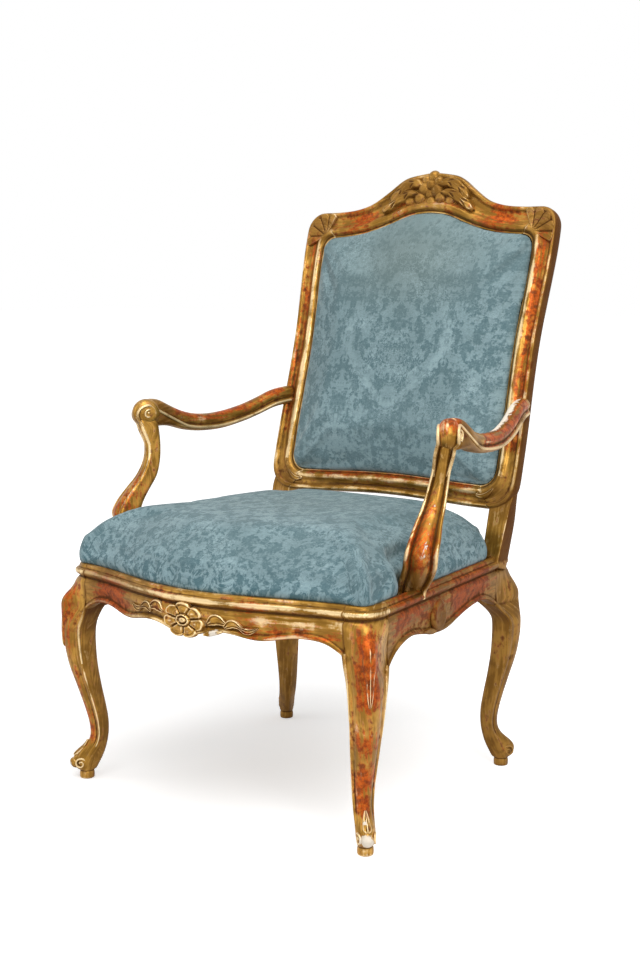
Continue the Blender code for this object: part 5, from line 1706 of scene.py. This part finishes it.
def damask_finish():
    made, start, shader = new_finish("blue damask")
    cloth = painted(start, "cloth", "Vector")
    fresh, faded = painted(start, "fresh"), painted(start, "faded")
    across, up, layer = (along_axis(cloth, axis) for axis in "XYZ")
    fold = across.sum("PINGPONG", across, 0.105)
    mirrored = start.node("ShaderNodeCombineXYZ", {}, {"X": fold, "Y": up, "Z": layer})
    ragged, speck = noise(mirrored, 130.0, 4.0, 0.65), noise(mirrored, 330.0, 3.0, 0.6)
    leaves = noise(stretch(mirrored, 52.0, 36.0, 52.0), 1.0, 4.0, 0.62, 0.2)
    away = abs(abs(across) - wave(up, 0.54) * 0.105 + (ragged - 0.5) * 0.034)
    upright = mask(layer, 0.1, 0.3)
    shown = mask(up, -0.15, -0.12) * (1 - mask(up, 0.0, 0.10)) * upright
    # Painted light: the lower part of the back is made lighter, against the shade of the seat and the arms
    lit_low_back = (1 - mask(up, -0.24, -0.02)) * upright
    band = (1 - mask(away, 0.0030, 0.0160)) * shown
    figure = mask(leaves + (ragged - 0.5) * 0.6, 0.43, 0.57)
    tone = 0.36 + figure * (0.24 + fresh * 0.24) + (speck - 0.5) * 0.8 + (ragged - 0.5) * 0.6
    tone = tone - band * 0.30 - lit_low_back * 0.25
    # Fresh places are bluer and bolder; on the back this value also paints the lower part lighter, as painted light
    light = blend(fresh, tint(126, 147, 150), tint(154, 180, 186))
    dark = blend(fresh, tint(80, 103, 107), tint(70, 102, 110))
    colour = blend(mask(tone, -0.15, 1.05), light, dark)
    curl = 1 - mask(abs(noise(mirrored, 120.0, 2.0, 0.5, 0.8) - 0.5), 0.012, 0.055)
    patch = mask(noise(cloth, 12.0, 2.0), 0.46, 0.62)
    colour = blend(curl * patch * 0.34, colour, tint(170, 193, 198))
    shade = mask(noise(cloth, 8.0, 2.0), 0.44, 0.64)
    colour = blend(shade * 0.30, colour, tint(88, 110, 114))
    colour = blend(faded * 0.55, colour, tint(112, 124, 118))
    weave = wave(across, 0.0012) * 0.5 + wave(up, 0.0012) * 0.5
    feed(shader, "Base Color", colour)
    feed(shader, "Roughness", 0.62 + figure * 0.2)
    feed(shader, "Normal", raise_by(figure * 0.6 + weave * 0.12 + curl * patch * 0.3 + speck * 0.6, 0.0009, 0.6))
    feed(shader, "Sheen Weight", 0.15)
    feed(shader, "Sheen Roughness", 0.4)
    feed(shader, "Specular IOR Level", 0.2)
    return made


DAMASK = damask_finish()
print("damask has", len(DAMASK.node_tree.nodes), "nodes")

# %% [markdown]
# ## Seat and back upholstery
#
# A stuffed seat is a skin of cloth pulled over hair, so it is round everywhere and tightest at its tacked edge. It is
# made as a closed dome, remeshed into even faces, and blown up a little by a cloth simulation with its edge pinned.
# How far a point may move is capped, so that the seat keeps its measured shape.

# %% Laying the figure on a cloth


def paint_cloth(piece, places, fresh, faded):
    """Place of each point on the flat cloth, how fresh it is (on the back also a painted light), and how faded it is.
    """
    layer = piece.data.attributes.new("cloth", "FLOAT_VECTOR", "POINT")
    layer.data.foreach_set("vector", np.asarray(places, dtype=np.float32).reshape(-1))
    paint_points(piece, "fresh", fresh)
    paint_points(piece, "faded", faded)


list_tools(paint_cloth)

# %% Stuffing a form by simulation

SEAT_FACE, BACK_FACE, MOVE_CAP = 0.006, 0.0055, 0.008


def stuff(piece, voxel, pinned, cap=MOVE_CAP):
    """Even faces, then a pressed-out skin held where pinned says so."""
    take(piece)
    piece.data.remesh_voxel_size = voxel
    bpy.ops.object.voxel_remesh()
    finish_with(piece, "SMOOTH", factor=0.5, iterations=5)
    before = point_table(piece)
    group = piece.vertex_groups.new(name="tacked")
    group.add([int(i) for i in np.nonzero(pinned(before))[0]], 1.0, "REPLACE")
    take(piece)
    bpy.ops.object.modifier_add(type="CLOTH")
    cloth = piece.modifiers[-1]
    skin = cloth.settings
    skin.quality = 6
    skin.mass = 0.3
    skin.tension_stiffness = skin.compression_stiffness = 25
    skin.shear_stiffness = 12
    skin.bending_stiffness = 1.5
    skin.use_pressure = True
    skin.uniform_pressure_force = 4.0
    skin.vertex_group_mass = "tacked"
    skin.effector_weights.gravity = 0.0
    scene = bpy.context.scene
    for number in range(1, 21):
        scene.frame_set(number)
    take(piece)
    bpy.ops.object.modifier_apply(modifier=cloth.name)
    scene.frame_set(1)
    piece.vertex_groups.clear()
    after = point_table(piece)
    move = after - before
    reach = np.linalg.norm(move, axis=1, keepdims=True)
    held = before + move * np.minimum(1.0, cap / np.maximum(reach, 1e-9))
    piece.data.vertices.foreach_set("co", held.reshape(-1))
    print(piece.name, "moved at most", round(float(reach.max()), 4))
    finish_with(piece, "SMOOTH", factor=0.5, iterations=4)
    round_off(piece)
    smooth_faces(piece, 80)


list_tools(stuff)

# %% Rows of a stuffed form


def dome_rows(outline_at, centre, base, crown, place, profile):
    """Rows of a stuffed form from its middle to its edge, by share of the outline and of the height."""
    rows = []
    for k, height in profile:
        rows.append([
            place(centre[0] + k * (a - centre[0]), centre[1] + k * (b - centre[1]), base + crown * height)
            for a, b in outline_at(k)
        ])
    return rows


def crowned(fullness, shoulder, last):
    """Profile of a flat crown that falls steeply at its edge."""
    shares = [k for k in (0.0, 0.12, 0.3, 0.45, 0.58, 0.69, 0.78, 0.85, 0.9, 0.94, 0.965, 0.985, 0.997) if k <= last]
    return [(k, (1 - k**fullness) ** shoulder) for k in shares]


list_tools(dome_rows, crowned)

# %% Outline of the seat

SEAT_REAR, NOTCH_DEPTH, SEAT_GAP = 0.478, 0.032, 0.0130
SEAT_BASE, SEAT_CROWN, SEAT_FLAT, TACK_LINE = 0.3640, 0.0920, 0.452, 0.372
SEAT_MIDDLE = (0.0, (front_y(0.0) + SEAT_REAR) / 2)


def seat_outline(gap, notched):
    """Edge of the seat cloth inside the bead, drawn in round the supports and the posts."""
    half = [(x, front_y(x) + gap) for x in spread(0.0, 0.255, 22)]
    corner_x, corner_y = side_x(0.0) - gap, FRONT_EDGE + gap
    half += [(corner_x - a, corner_y + b) for a, b in ((0.016, -0.003), (0.007, 0.002), (0.001, 0.011))]
    for y in spread(0.018, 0.418, 61):
        past = y - SUPPORT_PLACE
        notch = NOTCH_DEPTH * ramp(past, -0.070, -0.034) * (1 - ramp(past, 0.026, 0.044))
        half.append((side_x(y) - gap - notched * notch, y))
    half += [(0.232 - gap / 2, 0.430), (0.215, 0.434), (0.207, 0.440), (0.203, 0.458), (0.196, 0.474)]
    half += [(0.15, SEAT_REAR), (0.07, SEAT_REAR)]
    return half + [(0.0, SEAT_REAR)] + [(-x, y) for x, y in reversed(half[1:])]


def flat(x, y, z):
    return (x, y, z)


print("seat outline has", len(seat_outline(SEAT_GAP, 1.0)), "points")

# %% The stuffed seat
seat_edge = [(0.988, 0.55), (1.0, 0.40), (1.010, 0.26), (1.008, 0.13), (0.996, 0.04), (0.985, 0.0)]
seat_profile = crowned(7, 0.42, 0.97) + seat_edge
seat_rows = dome_rows(
    lambda k: seat_outline(SEAT_GAP, ramp(k, 0.86, 0.98)), SEAT_MIDDLE, SEAT_BASE, SEAT_CROWN, flat, seat_profile
)
seat_pad = roll_bar("seat_upholstery", seat_rows, 0)
stuff(seat_pad, SEAT_FACE, lambda table: table[:, 2] < TACK_LINE)
spots, facing = point_table(seat_pad), point_table(seat_pad, "normal")
fall = np.clip(SEAT_FLAT - spots[:, 2], 0, None)
steep = np.maximum(np.abs(facing[:, 0]) + np.abs(facing[:, 1]), 1e-6)
unrolled = spots.copy()
unrolled[:, 0] += np.sign(spots[:, 0]) * fall * np.abs(facing[:, 0]) / steep
unrolled[:, 1] += np.sign(facing[:, 1]) * fall * np.abs(facing[:, 1]) / steep
unrolled[:, 2] = 0.0
worn = soft_spot(spots[:, 0], 0.16) * soft_spot(spots[:, 1] + 0.02, 0.16)
fresh = 0.45 + 0.55 * np.clip((0.432 - spots[:, 2]) / 0.05, 0.0, 1.0)
paint_cloth(seat_pad, unrolled, fresh, worn * 0.35)
seat_pad.data.materials.append(DAMASK)
stand_for(seat_pad, "blue_damask", "seat_cover", "seat_stuffing")

# %% Outline of the panel of the back


def panel_outline(inset):
    pairs = lower_pairs() + stile_pairs()[1:] + crest_pairs()[1:]
    middle = Vector((0.0, 0.70))
    half = []
    for inner, _ in pairs:
        spot = Vector(inner)
        half.append(tuple(spot + (middle - spot).normalized() * inset))
    return half + [(-x, z) for x, z in reversed(half[1:-1])]


PANEL_MIDDLE, BACK_BASE, BACK_CROWN = (0.0, 0.695), -0.0072, 0.0370
print("panel outline has", len(panel_outline(0.0)), "points")

# %% The stuffed back
back_profile = crowned(7, 0.42, 0.997) + [(1.0, 0.0)]
back_rows = dome_rows(
    lambda k: panel_outline(-0.001), PANEL_MIDDLE, BACK_BASE, BACK_CROWN, back_point, back_profile
)
back_pad = roll_bar("back_upholstery", back_rows, 0)


def behind_sight(table):
    return (back_plane(table[:, 2]) - from_feet(table)) * math.cos(BACK_RAKE) < 0.0005


stuff(back_pad, BACK_FACE, behind_sight)
MEDALLION_HEIGHT, BACK_LAYER = 0.261, 0.4
spots = point_table(back_pad)
up_back = (spots[:, 2] - SIGHT_BOTTOM) / math.cos(BACK_RAKE)
# Fresher and lighter towards the bottom of the back: less worn, and painted light against the shade of the seat and
# arms
paint_cloth(
    back_pad, np.stack([spots[:, 0], up_back - MEDALLION_HEIGHT, np.full(len(spots), BACK_LAYER)], axis=1),
    np.interp(up_back, (0.02, 0.12, 0.30, 0.42), (0.75, 0.58, 0.48, 0.15)),
    soft_spot(spots[:, 0], 0.13) * soft_spot(up_back - 0.40, 0.09) * 0.8,
)
back_pad.data.materials.append(DAMASK)
stand_for(back_pad, "blue_damask", "back_cover", "back_stuffing")

# %% [markdown]
# ## Under and behind the upholstery
#
# A sitter never sees them, but the chair needs them: straps of jute webbing woven over the frame, coarse hessian on
# the straps, and a plain cloth tacked over the rear of the back. The straps are flat bands that pass over and under
# each other, and the cloths are single sheets cut to the outline that they cover.

# %% Finishes of hessian, webbing and plain wood


def hessian_finish():
    made, start, shader = new_finish("hessian")
    cloth = painted(start, "cloth", "Vector")
    across, up = along_axis(cloth, "X"), along_axis(cloth, "Y")
    slub = noise(cloth, 240.0, 3.0)
    thread = wave(across, 0.0024) * wave(up, 0.0024) + (slub - 0.5) * 0.9
    feed(shader, "Base Color", blend(mask(thread, -0.6, 0.7), tint(112, 88, 52), tint(176, 146, 98)))
    feed(shader, "Roughness", 0.80 + slub * 0.15)
    feed(shader, "Normal", raise_by(thread, 0.0006, 0.7))
    return made


def webbing_finish():
    made, start, shader = new_finish("webbing")
    flow = places_of(start, "UV")
    along, across = along_axis(flow, "X"), along_axis(flow, "Y")
    slub = noise(stretch(flow, 120.0, 500.0, 1.0), 1.0, 3.0)
    zigzag = abs(wave(across, 0.014)) * 0.004 + along
    twill = wave(zigzag, 0.003) + (slub - 0.5) * 0.8
    stripe = mask(abs(abs(across - 0.0275) - 0.016), 0.0026, 0.0016)
    colour = blend(mask(twill, -0.8, 0.8), tint(150, 122, 78), tint(198, 172, 126))
    feed(shader, "Base Color", blend(stripe * 0.75, colour, tint(112, 62, 44)))
    feed(shader, "Roughness", 0.78 + slub * 0.15)
    feed(shader, "Normal", raise_by(twill, 0.0005, 0.7))
    return made


def peg_finish():
    made, start, shader = new_finish("peg wood")
    spot = places_of(start, "Object")
    grain = noise(stretch(spot, 220.0, 30.0, 220.0), 1.0, 4.0, 0.6)
    feed(shader, "Base Color", blend(mask(grain, 0.3, 0.7), tint(150, 110, 66), tint(96, 64, 34)))
    feed(shader, "Roughness", 0.55 + grain * 0.25)
    feed(shader, "Normal", raise_by(grain, 0.0003, 0.5))
    return made


HESSIAN, WEBBING, PEG_WOOD = hessian_finish(), webbing_finish(), peg_finish()
for name in ("peg_crest_rail_left", "peg_crest_rail_right", "peg_lower_back_rail_left", "peg_lower_back_rail_right"):
    peg = bpy.data.objects[name]
    peg.data.materials.clear()
    peg.data.materials.append(PEG_WOOD)
print("pegs at the rear of the back stay as drawn")

# %% Cutting and stretching a sheet


def flat_cloth(name, outline, centre, place, level, thickness):
    """Sheet cut to an outline, and its area."""
    rows = []
    for k in (0.0, 0.2, 0.4, 0.6, 0.8, 0.93, 1.0):
        rows.append([
            place(centre[0] + k * (a - centre[0]), centre[1] + k * (b - centre[1]), level)
            for a, b in outline + outline[:1]
        ])
    piece = lay_grid(name, rows)
    close_up(piece, fill=False)
    area = sum(face.area for face in piece.data.polygons)
    finish_with(piece, "SOLIDIFY", thickness=thickness, offset=0)
    return piece, area


def width_and_length(outline):
    return tuple(max(spot[axis] for spot in outline) - min(spot[axis] for spot in outline) for axis in (0, 1))


def stretch_cloth(piece, area, outline, slope, held_by, finish):
    """Lays the weave of a stretched sheet along its own width and length, and gives it its finish."""
    width, length = width_and_length(outline)
    length * slope
    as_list(held_by)
    table = point_table(piece)
    up = table[:, 1] if slope == 1.0 else table[:, 2] * slope
    nought = np.zeros(len(table))
    paint_cloth(piece, np.stack([table[:, 0], up, nought], axis=1), nought + 0.3, nought)
    piece.data.materials.append(finish)
    print(piece.name, "cut", round(width, 3), "by", round(length * slope, 3), "area", round(area, 3))


list_tools(flat_cloth, width_and_length, stretch_cloth)

# %% Hessians and the cloth behind the back
SLOPE = 1 / math.cos(BACK_RAKE)
SEAT_HESSIAN_LEVEL, BACK_HESSIAN_LEVEL, REAR_CLOTH_LEVEL = 0.3554, -0.0068, -0.0268
HESSIAN_THICKNESS, CLOTH_THICKNESS = 0.0009, 0.0012
on_seat = (SEAT_MIDDLE, flat, SEAT_HESSIAN_LEVEL, HESSIAN_THICKNESS)
on_panel = (PANEL_MIDDLE, back_point, BACK_HESSIAN_LEVEL, HESSIAN_THICKNESS)
on_rear = (PANEL_MIDDLE, back_point, REAR_CLOTH_LEVEL, CLOTH_THICKNESS)
for name, cut, laid, slope, held_by, finish, slot, node in (
    ("seat_hessian_cloth", seat_outline(0.0185, 0.5), on_seat, 1.0, [front_rail, rear_rail], HESSIAN, "hessian",
     "seat_hessian"),
    ("back_hessian_cloth", panel_outline(0.005), on_panel, SLOPE, [crest, lower_rail], HESSIAN, "hessian",
     "back_hessian"),
    ("rear_cloth", panel_outline(-0.003), on_rear, SLOPE, [crest, lower_rail], DAMASK, "blue_damask",
     "outside_back_cover"),
):
    sheet, area = flat_cloth(name, cut, *laid)
    stretch_cloth(sheet, area, cut, slope, held_by, finish)
    stand_for(sheet, slot, node)

# %% A strap, and straps that cross

STRAP_RISE, STRAP_THICKNESS = 0.0012, 0.0017


def lay_strap(name, spots, beside, width):
    """Band of webbing along a line of places."""
    rows = []
    for spot in spots:
        rows.append([tuple(Vector(spot) + Vector(beside) * width * share) for share in spread(-0.5, 0.5, 5)])
    piece = lay_grid(name, rows)
    finish_with(piece, "SOLIDIFY", thickness=STRAP_THICKNESS, offset=0)
    round_off(piece)
    smooth_faces(piece, 40)
    piece.data.materials.append(WEBBING)
    return piece


def over_and_under(at, crossings, first, rise):
    """Height of a strap that goes over and under others at some places."""
    rows = [(place, first * rise * (1 if k % 2 == 0 else -1)) for k, place in enumerate(crossings)]
    return eased(rows, at)


def middle_of(nodes, axis):
    return [sum(corner[axis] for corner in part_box(node)) / 2 for node in nodes]


def lay_straps(part, along, nodes, axis, crossings, first, place, beside, width, count):
    """Straps of one direction, which go over and under those of the other."""
    for k, node in enumerate(nodes):
        low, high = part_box(node)
        line = []
        for at in spread(low[axis], high[axis], count):
            line.append(place(at, k, first * over_and_under(at, crossings, (-1) ** k, STRAP_RISE)))
        strap = lay_strap(f"{part}_strap_{along}_{k + 1}", line, beside, width)
        stand_for(strap, "webbing", node)


list_tools(lay_strap, over_and_under, middle_of, lay_straps)

# %% Straps of the seat
SEAT_STRAP_WIDTH, SEAT_STRAP_LEVEL = 0.056, 0.35245
cross_nodes = [f"seat_webbing_cross_{k}" for k in range(1, 5)]
long_nodes = [f"seat_webbing_long_{k}" for k in range(1, 5)]
cross_y, long_x = middle_of(cross_nodes, 1), middle_of(long_nodes, 0)
lay_straps(
    "seat", "cross", cross_nodes, 0, long_x, 1,
    lambda x, k, rise: (x, cross_y[k] - FEET_LINE, SEAT_STRAP_LEVEL + rise), (0, 1, 0), SEAT_STRAP_WIDTH, 41,
)
lay_straps(
    "seat", "long", long_nodes, 1, cross_y, -1,
    lambda y, k, rise: (long_x[k], y - FEET_LINE, SEAT_STRAP_LEVEL + rise), (1, 0, 0), SEAT_STRAP_WIDTH, 41,
)

# %% Straps of the back
BACK_STRAP_WIDTH, BACK_STRAP_LEVEL = 0.055, -0.0096
back_cross = [f"back_webbing_cross_{k}" for k in range(1, 4)]
back_long = [f"back_webbing_long_{k}" for k in range(1, 4)]
cross_z, back_x = middle_of(back_cross, 2), middle_of(back_long, 0)
up_the_back = (0, math.sin(BACK_RAKE), math.cos(BACK_RAKE))
lay_straps(
    "back", "cross", back_cross, 0, back_x, 1,
    lambda x, k, rise: back_point(x, cross_z[k], BACK_STRAP_LEVEL + rise), up_the_back, BACK_STRAP_WIDTH, 33,
)
lay_straps(
    "back", "long", back_long, 2, cross_z, -1,
    lambda z, k, rise: back_point(back_x[k], z, BACK_STRAP_LEVEL + rise), (1, 0, 0), BACK_STRAP_WIDTH, 33,
)

# %% [markdown]
# ## Camera, floor and light
#
# The camera stands where the photograph was taken from, to the right of the chair and a little above the seat. The
# floor is pale and keeps the chair's soft shadow, and three large soft lights stand in for a studio.

# %% Camera

CAMERA_PLACE, CAMERA_BACK = (1.49348, -1.71224 + FEET_LINE, 0.82646), (0.59651, -0.79171, 0.13187)
FOCAL_PIXELS, PHOTO_HEIGHT, SENSOR = 1503.068, 961.0, 36.0
bpy.ops.object.camera_add(location=CAMERA_PLACE)
camera = bpy.context.object
camera.name = "camera"
camera.rotation_euler = Vector(CAMERA_BACK).to_track_quat("Z", "Y").to_euler()
camera.data.lens = FOCAL_PIXELS * SENSOR / PHOTO_HEIGHT
camera.data.sensor_width = SENSOR
camera.data.clip_end = 50.0
bpy.context.scene.camera = camera
print("camera lens", round(camera.data.lens, 2))

# %% Floor

NEAR_WHITE, FAR_WHITE, SHADOW_PLACE = 0.44, 0.80, (-0.5, -0.1, 0)


def seen_directly(start):
    """One for rays that come straight from the camera, a gloss or a clear piece."""
    kinds = ("Camera", "Glossy", "Transmission")
    rays = [start.node("ShaderNodeLightPath", {}, {}, out=f"Is {kind} Ray") for kind in kinds]
    return rays[0].sum("MAXIMUM", rays[0], rays[1].sum("MAXIMUM", rays[1], rays[2]))


def floor_finish():
    made, start, shader = new_finish("pale floor")
    spot = places_of(start, "Object")
    speck = noise(spot, 3.0, 3.0)
    feed(shader, "Base Color", blend(speck, tint(232, 232, 232), tint(236, 236, 236)))
    # The glow that camera rays and glosses see is weaker near SHADOW_PLACE, which paints the floor's shadow darker
    # there
    away = start.node("ShaderNodeVectorMath", {"operation": "DISTANCE"}, {0: spot, 1: SHADOW_PLACE}, out="Value")
    far = mask(away, 0.35, 1.0)
    glow = blend(far, (NEAR_WHITE,) * 3 + (1,), (FAR_WHITE,) * 3 + (1,))
    feed(shader, "Emission Color", blend(seen_directly(start), (0, 0, 0, 1), glow))
    feed(shader, "Emission Strength", 1.0)
    feed(shader, "Roughness", 0.9)
    feed(shader, "Specular IOR Level", 0.0)
    return made


bpy.ops.mesh.primitive_plane_add(size=60, location=(0, 0, 0))
floor = bpy.context.object
floor.name = "floor"
floor.data.materials.append(floor_finish())
print("floor", tuple(round(side) for side in floor.dimensions))

# %% Lights and background


def add_light(name, place, target, size, power):
    bpy.ops.object.light_add(type="AREA", location=place)
    light = bpy.context.object
    light.name = name
    light.data.shape = "RECTANGLE"
    light.data.size, light.data.size_y = size
    light.data.energy = power
    light.rotation_euler = (Vector(place) - Vector(target)).to_track_quat("Z", "Y").to_euler()


add_light("soft_top", (0.5, -0.8, 3.0), (0, 0, 0.4), (2.2, 2.2), 55)
add_light("soft_right", (2.4, -1.8, 2.0), (0, 0, 0.5), (1.2, 1.8), 36)
add_light("soft_left", (-2.4, -2.0, 1.6), (0, 0, 0.5), (1.4, 2.0), 10)

world = bpy.data.worlds.new("white room")
bpy.context.scene.world = world
world.use_nodes = True
sky = Wire(world.node_tree)
level = 0.45 + seen_directly(sky) * 0.55
background = world.node_tree.nodes["Background"]
background.inputs["Color"].default_value = (1, 1, 1, 1)
world.node_tree.links.new(level.socket, background.inputs["Strength"])
bpy.context.scene.view_settings.view_transform = "Standard"
